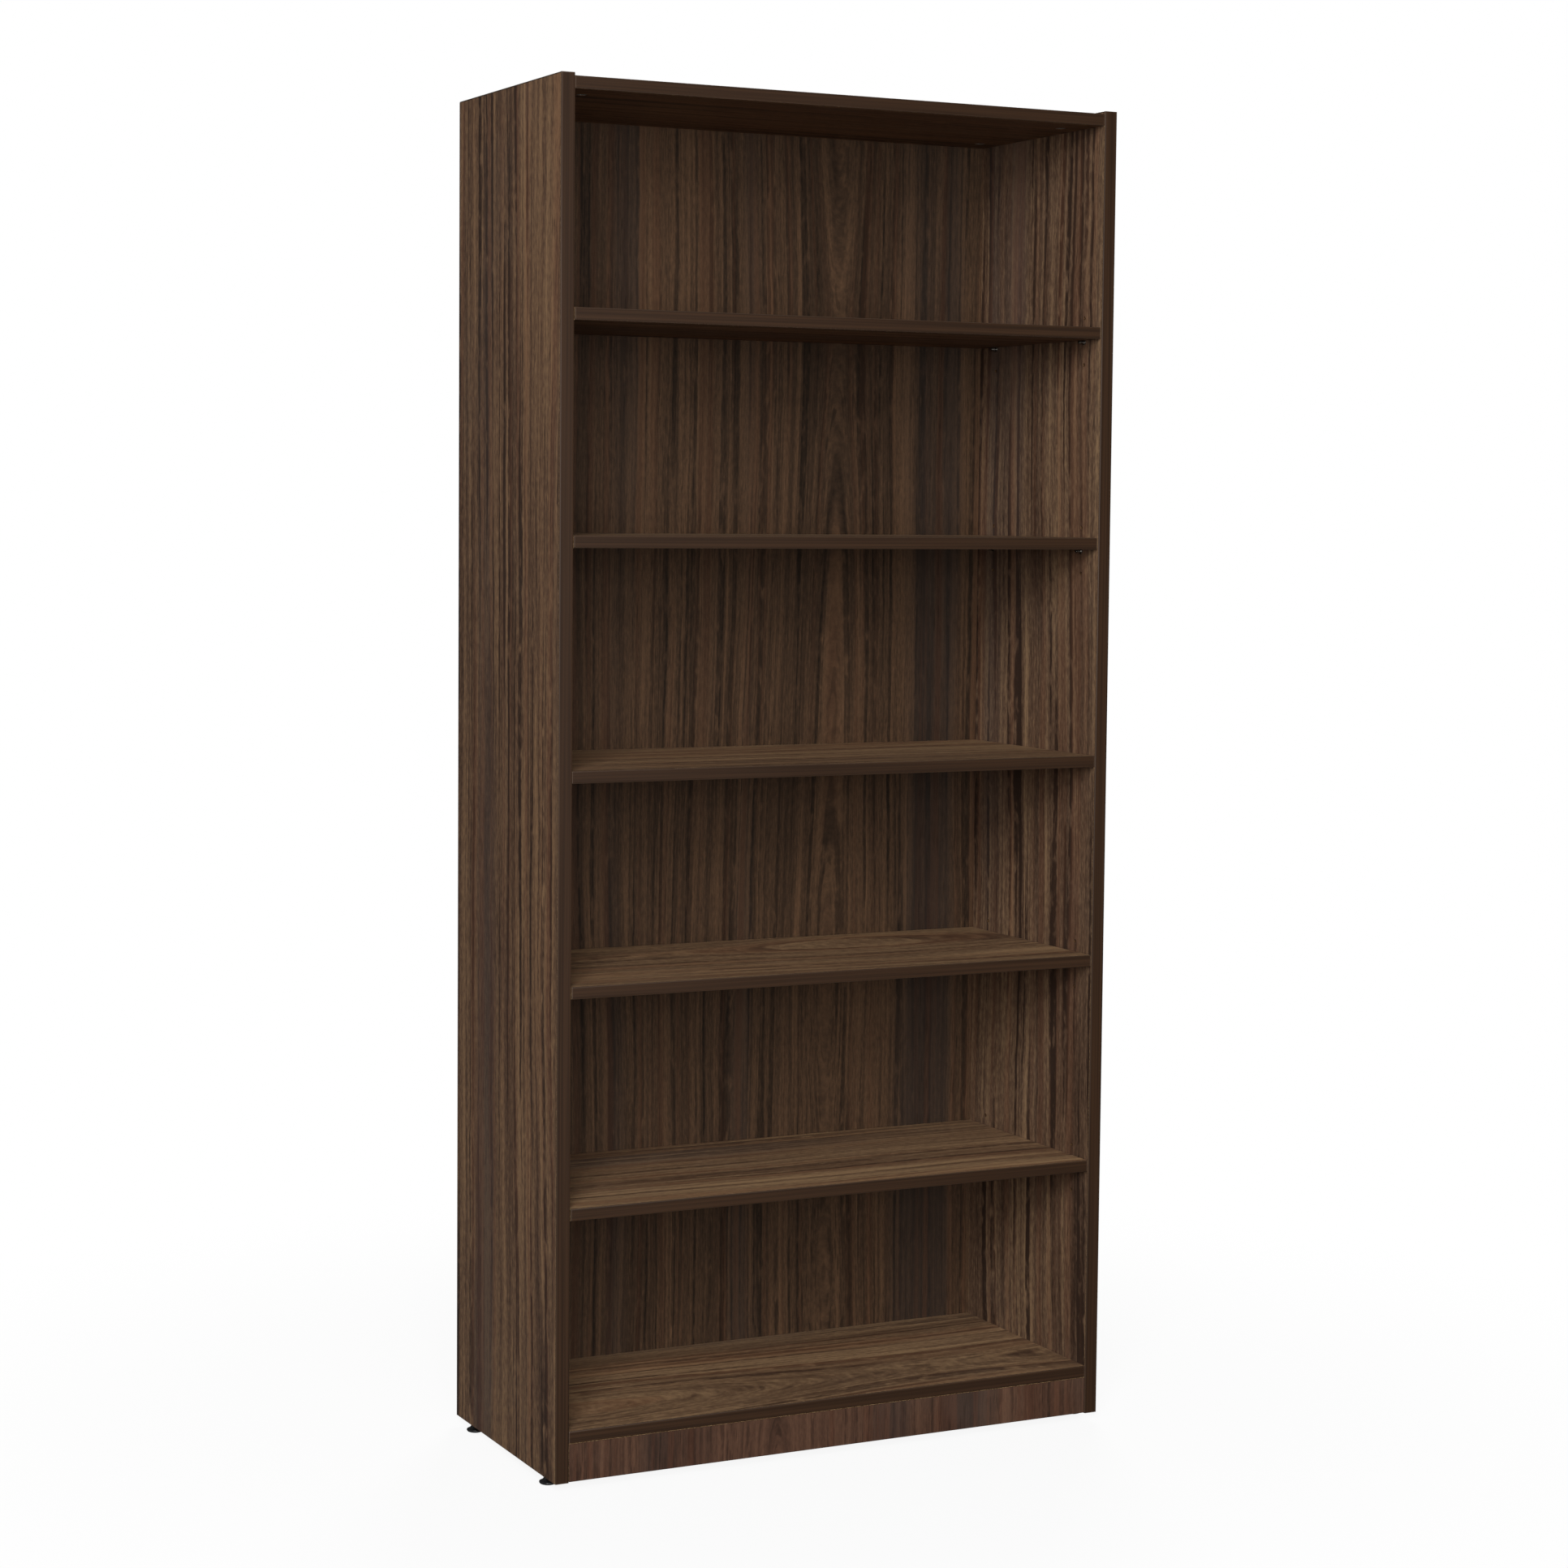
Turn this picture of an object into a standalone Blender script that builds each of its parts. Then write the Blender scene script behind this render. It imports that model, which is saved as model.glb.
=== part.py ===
"""A tall open bookcase with adjustable shelves, in laminated board.

Two side panels carry a top panel, a fixed middle shelf and a bottom shelf, joined with cam locks and
dowels. A kick plate closes the space under the bottom shelf, and a thin back panel sits in grooves.
Four loose shelves rest on pins, and four screw glides under the sides level the case.

Units are metres and +Z is up. The origin is on the floor, under the middle of the case. The open
front faces -Y, and left and right are as seen from the front.
"""

from math import radians

import bmesh
import bpy
from mathutils import Matrix, Vector

# The case
WIDTH = 0.813
DEPTH = 0.356
HEIGHT = 1.803
SIDE_THICKNESS = 0.019
BOARD_THICKNESS = 0.016
FRONT_STEP = 0.001  # the boards' fronts lie this far behind the sides' fronts
TOP_STEP = 0.0035  # the top panel lies this far below the sides' tops
GAP = 0.0003  # between pieces that touch

# Edge bands
BAND = 0.002
BAND_ARRIS = 0.0018
TOP_BAND = 0.001
TOP_BAND_ARRIS = 0.0008

# Heights of the boards' upper faces above the floor
BOTTOM_SHELF_TOP = 0.079
FIXED_SHELF_TOP = 0.929
TOP_PANEL_TOP = HEIGHT - TOP_STEP
HOLE_PITCH = 0.03175
HOLES_BETWEEN_SHELVES = 9
LOWER_SHELF_TOP = 0.368
UPPER_SHELF_TOP = 1.227

# Adjustable shelves
SHELF_END_PLAY = 0.0015
SHELF_BACK_PLAY = 0.002

# Back panel and kick plate
BACK_PANEL_SETBACK = 0.330  # from the front of the sides to the back panel's front
BACK_PANEL_THICKNESS = 0.005
GROOVE_DEPTH = 0.008
KICK_PLATE_LIFT = 0.001

# Shelf pins
PIN_ROWS = (0.045, 0.285)  # behind the front of the sides
HOLES_PER_SHELF = 3
PIN_HOLE_RADIUS = 0.00265
PIN_HOLE_DEPTH = 0.010
PIN_RADIUS = 0.0024
PIN_FLANGE_RADIUS = 0.004
PIN_FLANGE = 0.001
PIN_REACH = 0.009
PIN_FLAT = 0.0016  # the flat that carries the shelf, above the pin's axis

# Cam fixings and dowels
BOLT_ROWS = (0.060, 0.280)
DOWEL_ROWS = (0.092, 0.248)
KICK_DOWEL_SPREAD = 0.014
BOLT_RADIUS = 0.0025
BOLT_NECK_RADIUS = 0.0017
BOLT_BORE_RADIUS = 0.004
BOLT_IN_SIDE = 0.011
CAM_REACH = 0.034  # from the end of a board to the middle of its cam
CAM_RADIUS = 0.0073
CAM_HEIGHT = 0.0115
CAM_BORE_RADIUS = 0.0078
CAM_BORE_DEPTH = 0.0122
CAM_SLOT_LENGTH = 0.0090
CAM_SLOT_WIDTH = 0.0015
CAM_SLOT_DEPTH = 0.0016
DOWEL_RADIUS = 0.004
DOWEL_IN_SIDE = 0.011
DOWEL_IN_BOARD = 0.019
DOWEL_ROOM = 0.001  # the glue space past the end of a dowel

# Screws of the back panel
SCREW_PLACES = (-0.32, -0.11, 0.11, 0.32)
SCREW_RADIUS = 0.00175
SCREW_LENGTH = 0.016

# Screw glides
GLIDE_HEIGHT = 0.012
GLIDE_SETBACK = 0.047
PAD_RADIUS = 0.0119
PAD_FOOT_RADIUS = 0.0085
PAD_NECK_RADIUS = 0.0060
PAD_RIM_HEIGHT = 0.0034
PAD_HEIGHT = 0.0090
PAD_ROUNDING = 0.0005
PAD_UNDERCUT = 0.0016
STEM_RADIUS = 0.003
STEM_TOP = 0.036
STEM_FOOT = 0.0030
STEM_CHAMFER = 0.0006
SOCKET_RADIUS = 0.0033
SOCKET_FLOOR = 0.0026
COLLAR_RADIUS = 0.0056
COLLAR_LOW = 0.0093
COLLAR_HIGH = 0.0115
NUT_RADIUS = 0.0052
NUT_FLANGE_RADIUS = 0.0070
NUT_FLANGE = 0.0012
NUT_LENGTH = 0.014
STEM_BORE_DEPTH = 0.028

# Places that follow from the sizes above
FRONT = -DEPTH / 2
BACK = DEPTH / 2
SIDE_FOOT = GLIDE_HEIGHT
INNER = WIDTH / 2 - SIDE_THICKNESS
SIDE_MIDDLE = WIDTH / 2 - SIDE_THICKNESS / 2
BOARD_FRONT = FRONT + FRONT_STEP
BACK_PANEL_FRONT = FRONT + BACK_PANEL_SETBACK
BACK_PANEL_REAR = BACK_PANEL_FRONT + BACK_PANEL_THICKNESS
GROOVE_FRONT = BACK_PANEL_FRONT - GAP
GROOVE_REAR = BACK_PANEL_REAR + GAP
BOARD_REAR = BACK_PANEL_FRONT - GAP
TOP_PANEL_UNDERSIDE = TOP_PANEL_TOP - BOARD_THICKNESS
GROOVE_TOP = TOP_PANEL_UNDERSIDE + GROOVE_DEPTH
BOTTOM_SHELF_UNDERSIDE = BOTTOM_SHELF_TOP - BOARD_THICKNESS
SHELF_SPACING = HOLES_BETWEEN_SHELVES * HOLE_PITCH
ADJUSTABLE_TOPS = (
    UPPER_SHELF_TOP + SHELF_SPACING,
    UPPER_SHELF_TOP,
    LOWER_SHELF_TOP + SHELF_SPACING,
    LOWER_SHELF_TOP,
)
KICK_PLATE_LOW = SIDE_FOOT + KICK_PLATE_LIFT
KICK_PLATE_HIGH = BOTTOM_SHELF_UNDERSIDE - GAP
KICK_PLATE_MIDDLE = (KICK_PLATE_LOW + KICK_PLATE_HIGH) / 2
KICK_PLATE_AXIS = BOARD_FRONT + BOARD_THICKNESS / 2
SIDES = {"left": -1, "right": 1}
ENDS = ("front", "rear")
OVERSHOOT = 0.002  # how far a cutter stands out of the wood
SHARP_ANGLE = radians(35)
ARRIS_STEPS = 4
PIN_HOLE_SIDES = 16
NARROW_BORE_SIDES = 12
BORE_SIDES = 16
WIDE_BORE_SIDES = 24
PAD_SIDES = 36
COLLAR_SIDES = 6
DOWN = Vector((0, 0, -1))
REARWARD = Vector((0, 1, 0))
X, Y, Z = range(3)


def clear_scene():
    """Removes whatever the open file holds."""
    for old in list(bpy.data.objects):
        bpy.data.objects.remove(old, do_unlink=True)


def collection(name):
    """A new collection in the scene."""
    made = bpy.data.collections.new(name)
    bpy.context.scene.collection.children.link(made)
    return made


def finish(name, colour, roughness, metallic=0.0):
    """A plain Principled material."""
    made = bpy.data.materials.new(name)
    made.use_nodes = True
    shader = made.node_tree.nodes["Principled BSDF"]
    shader.inputs["Base Color"].default_value = (*colour, 1.0)
    shader.inputs["Roughness"].default_value = roughness
    shader.inputs["Metallic"].default_value = metallic
    return made


clear_scene()
BOOKCASE = collection("bookcase")
CUTTERS = collection("cutters")
LAMINATE = finish("walnut_laminate", (0.075, 0.045, 0.030), 0.5)
EDGE = finish("brown_edge_band", (0.040, 0.024, 0.015), 0.4)
HARDBOARD = finish("walnut_back", (0.065, 0.040, 0.027), 0.55)
STEEL = finish("zinc_steel", (0.62, 0.62, 0.60), 0.35, 1.0)
CAST_ZINC = finish("cast_zinc", (0.45, 0.45, 0.45), 0.45, 1.0)
BLACK = finish("black_plastic", (0.012, 0.012, 0.013), 0.45)


def add_object(name, shape, material, location=(0, 0, 0)):
    """Turns a bmesh into a named object of the bookcase."""
    mesh = bpy.data.meshes.new(name)
    bmesh.ops.recalc_face_normals(shape, faces=shape.faces)
    shape.to_mesh(mesh)
    shape.free()
    mesh.materials.append(material)
    made = bpy.data.objects.new(name, mesh)
    made.location = location
    BOOKCASE.objects.link(made)
    return made


def add_cutter(name, shape):
    """Turns a bmesh, already in place, into a hidden cutter."""
    made = add_object(name, shape, BLACK)
    BOOKCASE.objects.unlink(made)
    CUTTERS.objects.link(made)
    made.hide_render = True
    made.display_type = "WIRE"
    return made


def cut(piece, cutter):
    """Subtracts one object from another, exactly."""
    boolean = piece.modifiers.new(f"cut_{cutter.name}", "BOOLEAN")
    boolean.operation = "DIFFERENCE"
    boolean.solver = "EXACT"
    boolean.object = cutter


def join(piece, other):
    """Joins a helper object to a piece, exactly, and hides the helper."""
    BOOKCASE.objects.unlink(other)
    CUTTERS.objects.link(other)
    other.hide_render = True
    other.display_type = "WIRE"
    boolean = piece.modifiers.new(f"join_{other.name}", "BOOLEAN")
    boolean.operation = "UNION"
    boolean.solver = "EXACT"
    boolean.object = other


def add_block(shape, low, high, middle=(0, 0, 0)):
    """Adds a box between two corners to a bmesh, measured from middle."""
    low, high = Vector(low), Vector(high)
    size = high - low
    place = Matrix.Translation((low + high) / 2 - Vector(middle)) @ Matrix.Diagonal((*size, 1))
    return bmesh.ops.create_cube(shape, size=1, matrix=place)


def board(name, low, high, material):
    """A square-edged board between two corners, its origin in its middle."""
    middle = (Vector(low) + Vector(high)) / 2
    shape = bmesh.new()
    add_block(shape, low, high, middle)
    return add_object(name, shape, material, middle)


def band(name, low, high, run, outward, arris):
    """An edge band along axis run, with both long arrises of its outward face rounded."""
    middle = (Vector(low) + Vector(high)) / 2
    outward = Vector(outward)
    shape = bmesh.new()
    add_block(shape, low, high, middle)
    face_distance = max(corner.co.dot(outward) for corner in shape.verts)
    rounded = []
    for edge in shape.edges:
        start, end = (corner.co for corner in edge.verts)
        along = (end - start).normalized()
        on_face = min(start.dot(outward), end.dot(outward)) > face_distance - GAP / 2
        if on_face and abs(along[run]) > 0.5:
            rounded.append(edge)
    bmesh.ops.bevel(
        shape, geom=rounded, offset=arris, segments=ARRIS_STEPS, profile=0.5, affect="EDGES"
    )
    return add_object(name, shape, EDGE, middle)


def add_bore(shape, mouth, inward, depth, radius, sides=BORE_SIDES):
    """Adds a round cutter from just outside its mouth to its depth inwards."""
    length = depth + OVERSHOOT
    middle = Vector(mouth) + Vector(inward) * (length / 2 - OVERSHOOT)
    turn = Vector((0, 0, 1)).rotation_difference(Vector(inward)).to_matrix().to_4x4()
    bmesh.ops.create_cone(
        shape,
        cap_ends=True,
        segments=sides,
        radius1=radius,
        radius2=radius,
        depth=length,
        matrix=Matrix.Translation(middle) @ turn,
    )


def turned(name, profile, material, steps):
    """A turned piece about Z, from (radius, height) points that run down its outer side."""
    shape = bmesh.new()
    corners = [shape.verts.new((radius, 0, height)) for radius, height in profile]
    for upper, lower in zip(corners, corners[1:]):
        shape.edges.new((upper, lower))
    mesh = bpy.data.meshes.new(name)
    shape.to_mesh(mesh)
    shape.free()
    mesh.materials.append(material)
    made = bpy.data.objects.new(name, mesh)
    BOOKCASE.objects.link(made)
    screw = made.modifiers.new("turn", "SCREW")
    screw.steps = steps
    screw.render_steps = steps
    screw.use_merge_vertices = True
    screw.merge_threshold = 0.00001
    return made


def copies(pattern, places):
    """Equal pieces that share the finished pattern's mesh, one object for each named place."""
    bpy.context.view_layer.update()
    graph = bpy.context.evaluated_depsgraph_get()
    single = bpy.data.meshes.new_from_object(pattern.evaluated_get(graph))
    single.shade_smooth()
    single.set_sharp_from_angle(angle=SHARP_ANGLE)
    bpy.data.objects.remove(pattern, do_unlink=True)
    for name, place in places.items():
        made = bpy.data.objects.new(name, single)
        made.matrix_world = place
        BOOKCASE.objects.link(made)


def carry(carrier_name, origin, pieces):
    """Parents pieces that move together to an empty on their joint's axis."""
    carrier = bpy.data.objects.new(carrier_name, None)
    carrier.location = origin
    BOOKCASE.objects.link(carrier)
    for piece in pieces:
        piece.location = piece.location - carrier.location
        piece.parent = carrier


def from_side(side, setback, height):
    """A point on the inner face of a side panel, setback behind the front of the sides."""
    return Vector((SIDES[side] * INNER, FRONT + setback, height))


def along_board(side):
    """The direction from a side panel's inner face into the boards."""
    return Vector((-SIDES[side], 0, 0))


class Fixing:
    """A cam bolt or dowel across the joint between a side panel and the end of a board."""

    def __init__(self, side, setback, height):
        """Places the fixing's axis on the inner face of its side panel."""
        self.side = side
        self.point = from_side(side, setback, height)
        self.inward = along_board(side)

    def cam_face(self):
        """The middle of the cam's face, on the underside of the board."""
        return self.point + self.inward * CAM_REACH + DOWN * BOARD_THICKNESS / 2

    def cam_place(self):
        """The place of a cam fixing whose bolt, along its own +X, runs into the side panel."""
        bolt = -self.inward
        deeper = -DOWN
        turn = Matrix((bolt, deeper.cross(bolt), deeper)).transposed().to_4x4()
        return Matrix.Translation(self.cam_face()) @ turn


def fixings(rows, height):
    """One fixing in each row, at both ends of a level board."""
    return [Fixing(side, row, height) for side in SIDES for row in rows]


FIXED_TOPS = {
    "top_panel": TOP_PANEL_TOP,
    "fixed_shelf": FIXED_SHELF_TOP,
    "bottom_shelf": BOTTOM_SHELF_TOP,
}
BOLTS = {}
DOWELS = {}
for level_board, level_top in FIXED_TOPS.items():
    BOLTS[level_board] = fixings(BOLT_ROWS, level_top - BOARD_THICKNESS / 2)
    DOWELS[level_board] = fixings(DOWEL_ROWS, level_top - BOARD_THICKNESS / 2)
BOLTS["kick_plate"] = []
DOWELS["kick_plate"] = [
    Fixing(side, KICK_PLATE_AXIS - FRONT, KICK_PLATE_MIDDLE + step)
    for side in SIDES
    for step in (-KICK_DOWEL_SPREAD, KICK_DOWEL_SPREAD)
]


def bore_ends(shape, name):
    """Adds the end bores of a fixed board for its cam bolts and dowels."""
    for bolt in BOLTS[name]:
        add_bore(shape, bolt.point, bolt.inward, CAM_REACH - BOLT_RADIUS, BOLT_BORE_RADIUS)
    for dowel in DOWELS[name]:
        radius = DOWEL_RADIUS + GAP
        add_bore(shape, dowel.point, dowel.inward, DOWEL_IN_BOARD + DOWEL_ROOM, radius)


def bore_cams(shape, name):
    """Adds the cam bores of a fixed board."""
    for bolt in BOLTS[name]:
        add_bore(shape, bolt.cam_face(), -DOWN, CAM_BORE_DEPTH, CAM_BORE_RADIUS, WIDE_BORE_SIDES)


def fixed_board(name, rear):
    """A level board fixed between the sides, with its bores and its front band."""
    top = FIXED_TOPS[name]
    end = INNER - GAP
    underside = top - BOARD_THICKNESS
    front = BOARD_FRONT + BAND + GAP
    made = board(name, (-end, front, underside), (end, rear, top), LAMINATE)
    ends = bmesh.new()
    bore_ends(ends, name)
    if name != "top_panel":
        for place in SCREW_PLACES:
            mouth = (place, rear, top - BOARD_THICKNESS / 2)
            radius = SCREW_RADIUS + GAP
            add_bore(ends, mouth, -REARWARD, SCREW_LENGTH, radius, NARROW_BORE_SIDES)
    cut(made, add_cutter(f"{name}_end_bores", ends))
    faces = bmesh.new()
    bore_cams(faces, name)
    if name == "top_panel":
        groove_low = (-WIDTH, GROOVE_FRONT, underside - OVERSHOOT)
        add_block(faces, groove_low, (WIDTH, GROOVE_REAR, GROOVE_TOP))
    cut(made, add_cutter(f"{name}_cam_bores", faces))
    low = (-end, BOARD_FRONT, underside)
    band(f"{name}_band", low, (end, BOARD_FRONT + BAND, top), X, -REARWARD, BAND_ARRIS)


def adjustable_shelf(number, top):
    """A loose shelf with its front band, carried together on the line that it lifts along."""
    end = INNER - SHELF_END_PLAY
    underside = top - BOARD_THICKNESS
    name = f"adjustable_shelf_{number}"
    low = (-end, BOARD_FRONT + BAND + GAP, underside)
    shelf = board(name, low, (end, BOARD_REAR - SHELF_BACK_PLAY, top), LAMINATE)
    low = (-end, BOARD_FRONT, underside)
    high = (end, BOARD_FRONT + BAND, top)
    edge = band(f"{name}_band", low, high, X, -REARWARD, BAND_ARRIS)
    carry(f"lift_of_{name}", Vector((0, 0, underside)), (shelf, edge))


def pin_height(top):
    """The height of the pins' axes under a shelf whose upper face is at top."""
    return top - BOARD_THICKNESS - GAP - PIN_FLAT


def side_panel(side):
    """A side panel with its shelf holes, fixing bores, back groove and glide bores."""
    facing_out = SIDES[side]
    inner = facing_out * INNER
    outer = facing_out * WIDTH / 2
    near, far = sorted((inner, outer))
    low = (near, FRONT + BAND + GAP, SIDE_FOOT)
    high = (far, BACK, HEIGHT - TOP_BAND - GAP)
    made = board(f"side_panel_{side}", low, high, LAMINATE)

    holes = bmesh.new()
    outward = -along_board(side)
    for top in ADJUSTABLE_TOPS:
        for step in range(HOLES_PER_SHELF):
            height = pin_height(top) + (step - HOLES_PER_SHELF // 2) * HOLE_PITCH
            for row in PIN_ROWS:
                mouth = from_side(side, row, height)
                add_bore(holes, mouth, outward, PIN_HOLE_DEPTH, PIN_HOLE_RADIUS, PIN_HOLE_SIDES)
    for fixing in [bolt for bolts in BOLTS.values() for bolt in bolts if bolt.side == side]:
        add_bore(holes, fixing.point, outward, BOLT_IN_SIDE + GAP, BOLT_RADIUS + GAP)
    for fixing in [pin for dowels in DOWELS.values() for pin in dowels if pin.side == side]:
        add_bore(holes, fixing.point, outward, DOWEL_IN_SIDE + GAP, DOWEL_RADIUS + GAP)
    for glide in glide_places(side).values():
        mouth = glide + Vector((0, 0, SIDE_FOOT))
        add_bore(holes, mouth, -DOWN, STEM_BORE_DEPTH, NUT_RADIUS + GAP, WIDE_BORE_SIDES)
    cut(made, add_cutter(f"side_{side}_bores", holes))

    recesses = bmesh.new()
    near, far = sorted((inner - facing_out * OVERSHOOT, inner + facing_out * GROOVE_DEPTH))
    low = (near, GROOVE_FRONT, SIDE_FOOT - OVERSHOOT)
    add_block(recesses, low, (far, GROOVE_REAR, GROOVE_TOP + GAP))
    for glide in glide_places(side).values():
        mouth = glide + Vector((0, 0, SIDE_FOOT))
        radius = NUT_FLANGE_RADIUS + GAP
        add_bore(recesses, mouth, -DOWN, NUT_FLANGE + GAP, radius, WIDE_BORE_SIDES)
    cut(made, add_cutter(f"side_{side}_recesses", recesses))

    near, far = sorted((inner, outer))
    low = (near, FRONT, SIDE_FOOT)
    edge = band(f"side_band_{side}", low, (far, FRONT + BAND, HEIGHT), Z, -REARWARD, BAND_ARRIS)
    low = (near, FRONT + BAND / 2, HEIGHT - TOP_BAND)
    top = band(f"side_top_band_{side}", low, (far, BACK, HEIGHT), Y, -DOWN, TOP_BAND_ARRIS)
    join(edge, top)


def kick_plate():
    """The plate under the bottom shelf, flush with the shelf's front."""
    end = INNER - GAP
    low = (-end, BOARD_FRONT, KICK_PLATE_LOW)
    high = (end, BOARD_FRONT + BOARD_THICKNESS, KICK_PLATE_HIGH)
    made = board("kick_plate", low, high, LAMINATE)
    ends = bmesh.new()
    bore_ends(ends, "kick_plate")
    cut(made, add_cutter("kick_plate_end_bores", ends))


def back_panel():
    """The thin back, held in the grooves and screwed to the fixed and bottom shelves."""
    reach = INNER + GROOVE_DEPTH - 2 * GAP
    low = (-reach, BACK_PANEL_FRONT, BOTTOM_SHELF_UNDERSIDE)
    high = (reach, BACK_PANEL_REAR, GROOVE_TOP - GAP)
    made = board("back_panel", low, high, HARDBOARD)
    holes = bmesh.new()
    for top in (FIXED_SHELF_TOP, BOTTOM_SHELF_TOP):
        for place in SCREW_PLACES:
            mouth = (place, BACK_PANEL_REAR, top - BOARD_THICKNESS / 2)
            depth = BACK_PANEL_THICKNESS + OVERSHOOT
            add_bore(holes, mouth, -REARWARD, depth, SCREW_RADIUS + GAP, NARROW_BORE_SIDES)
    cut(made, add_cutter("back_panel_holes", holes))


def pin_pattern():
    """A shelf pin along +Z: its peg is below the flange, its flat-topped reach above."""
    pin = turned(
        "pin_pattern",
        (
            (0, PIN_REACH),
            (PIN_RADIUS, PIN_REACH),
            (PIN_RADIUS, GAP + PIN_FLANGE),
            (PIN_FLANGE_RADIUS, GAP + PIN_FLANGE),
            (PIN_FLANGE_RADIUS, GAP),
            (PIN_RADIUS, GAP),
            (PIN_RADIUS, GAP / 2 - PIN_HOLE_DEPTH),
            (0, GAP / 2 - PIN_HOLE_DEPTH),
        ),
        STEEL,
        PIN_HOLE_SIDES,
    )
    milled = bmesh.new()
    low = (PIN_FLAT, -PIN_REACH, -GAP / 2)
    add_block(milled, low, (PIN_REACH, PIN_REACH, PIN_REACH + OVERSHOOT))
    cut(pin, add_cutter("pin_flat", milled))
    return pin


def pin_place(side, row, top):
    """A pin's place under a shelf: its flat, on the pattern's +X side, looks up."""
    inward = along_board(side)
    up = -DOWN
    across = inward.cross(up)
    turn = Matrix((up, across, inward)).transposed().to_4x4()
    return Matrix.Translation(from_side(side, row, pin_height(top))) @ turn


def shelf_pins():
    """The four pins under each adjustable shelf."""
    places = {}
    for number, top in enumerate(ADJUSTABLE_TOPS, start=1):
        for side in SIDES:
            for end, row in zip(ENDS, PIN_ROWS):
                places[f"shelf_pin_{number}_{end}_{side}"] = pin_place(side, row, top)
    copies(pin_pattern(), places)


def cam_pattern():
    """A cam, its face looking down, joined to the bolt that it grips, which runs along +X."""
    shape = bmesh.new()
    mouth = (0, 0, GAP + OVERSHOOT)
    add_bore(shape, mouth, -DOWN, CAM_HEIGHT - OVERSHOOT, CAM_RADIUS, WIDE_BORE_SIDES)
    cam = add_object("cam_pattern", shape, CAST_ZINC)
    for name, across, along in (
        ("cam_slot_along", CAM_SLOT_WIDTH, CAM_SLOT_LENGTH),
        ("cam_slot_across", CAM_SLOT_LENGTH, CAM_SLOT_WIDTH),
    ):
        slot = bmesh.new()
        corner = Vector((across / 2, along / 2, GAP + CAM_SLOT_DEPTH))
        add_block(slot, (-corner.x, -corner.y, -OVERSHOOT), corner)
        cut(cam, add_cutter(name, slot))
    tip = CAM_REACH + BOLT_IN_SIDE
    neck_end = CAM_RADIUS * 2
    bolt = turned(
        "cam_bolt",
        (
            (0, tip),
            (BOLT_RADIUS - 2 * GAP, tip),
            (BOLT_RADIUS, tip - BOLT_RADIUS),
            (BOLT_RADIUS, neck_end),
            (BOLT_NECK_RADIUS, neck_end - GAP),
            (BOLT_NECK_RADIUS, CAM_RADIUS / 2),
            (0, CAM_RADIUS / 2),
        ),
        STEEL,
        NARROW_BORE_SIDES,
    )
    bolt.location = (0, 0, BOARD_THICKNESS / 2)
    bolt.rotation_euler = (0, radians(90), 0)
    join(cam, bolt)
    return cam


def cam_fixings():
    """The cam fixings of the fixed boards, in their undersides and the sides."""
    places = {}
    for name, bolts in BOLTS.items():
        for end, bolt in zip(ENDS * len(SIDES), bolts):
            places[f"cam_fixing_{name}_{end}_{bolt.side}"] = bolt.cam_place()
    copies(cam_pattern(), places)


def glide_places(side):
    """Points on the floor under the front and the rear glide of a side panel."""
    setbacks = (GLIDE_SETBACK, DEPTH - GLIDE_SETBACK)
    middle = SIDES[side] * SIDE_MIDDLE
    return {
        f"{end}_{side}": Vector((middle, FRONT + setback, 0))
        for end, setback in zip(ENDS, setbacks)
    }


def glide_nuts():
    """Flanged insert nuts in the sides' lower ends."""
    bore = STEM_RADIUS + GAP
    pattern = turned(
        "nut_pattern",
        (
            (bore, GAP),
            (bore, NUT_LENGTH),
            (NUT_RADIUS, NUT_LENGTH),
            (NUT_RADIUS, NUT_FLANGE),
            (NUT_FLANGE_RADIUS, NUT_FLANGE),
            (NUT_FLANGE_RADIUS, GAP),
            (bore, GAP),
        ),
        STEEL,
        WIDE_BORE_SIDES,
    )
    places = {}
    for side in SIDES:
        for corner, glide in glide_places(side).items():
            mouth = glide + Vector((0, 0, SIDE_FOOT))
            places[f"glide_nut_{corner}"] = Matrix.Translation(mouth)
    copies(pattern, places)


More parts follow.
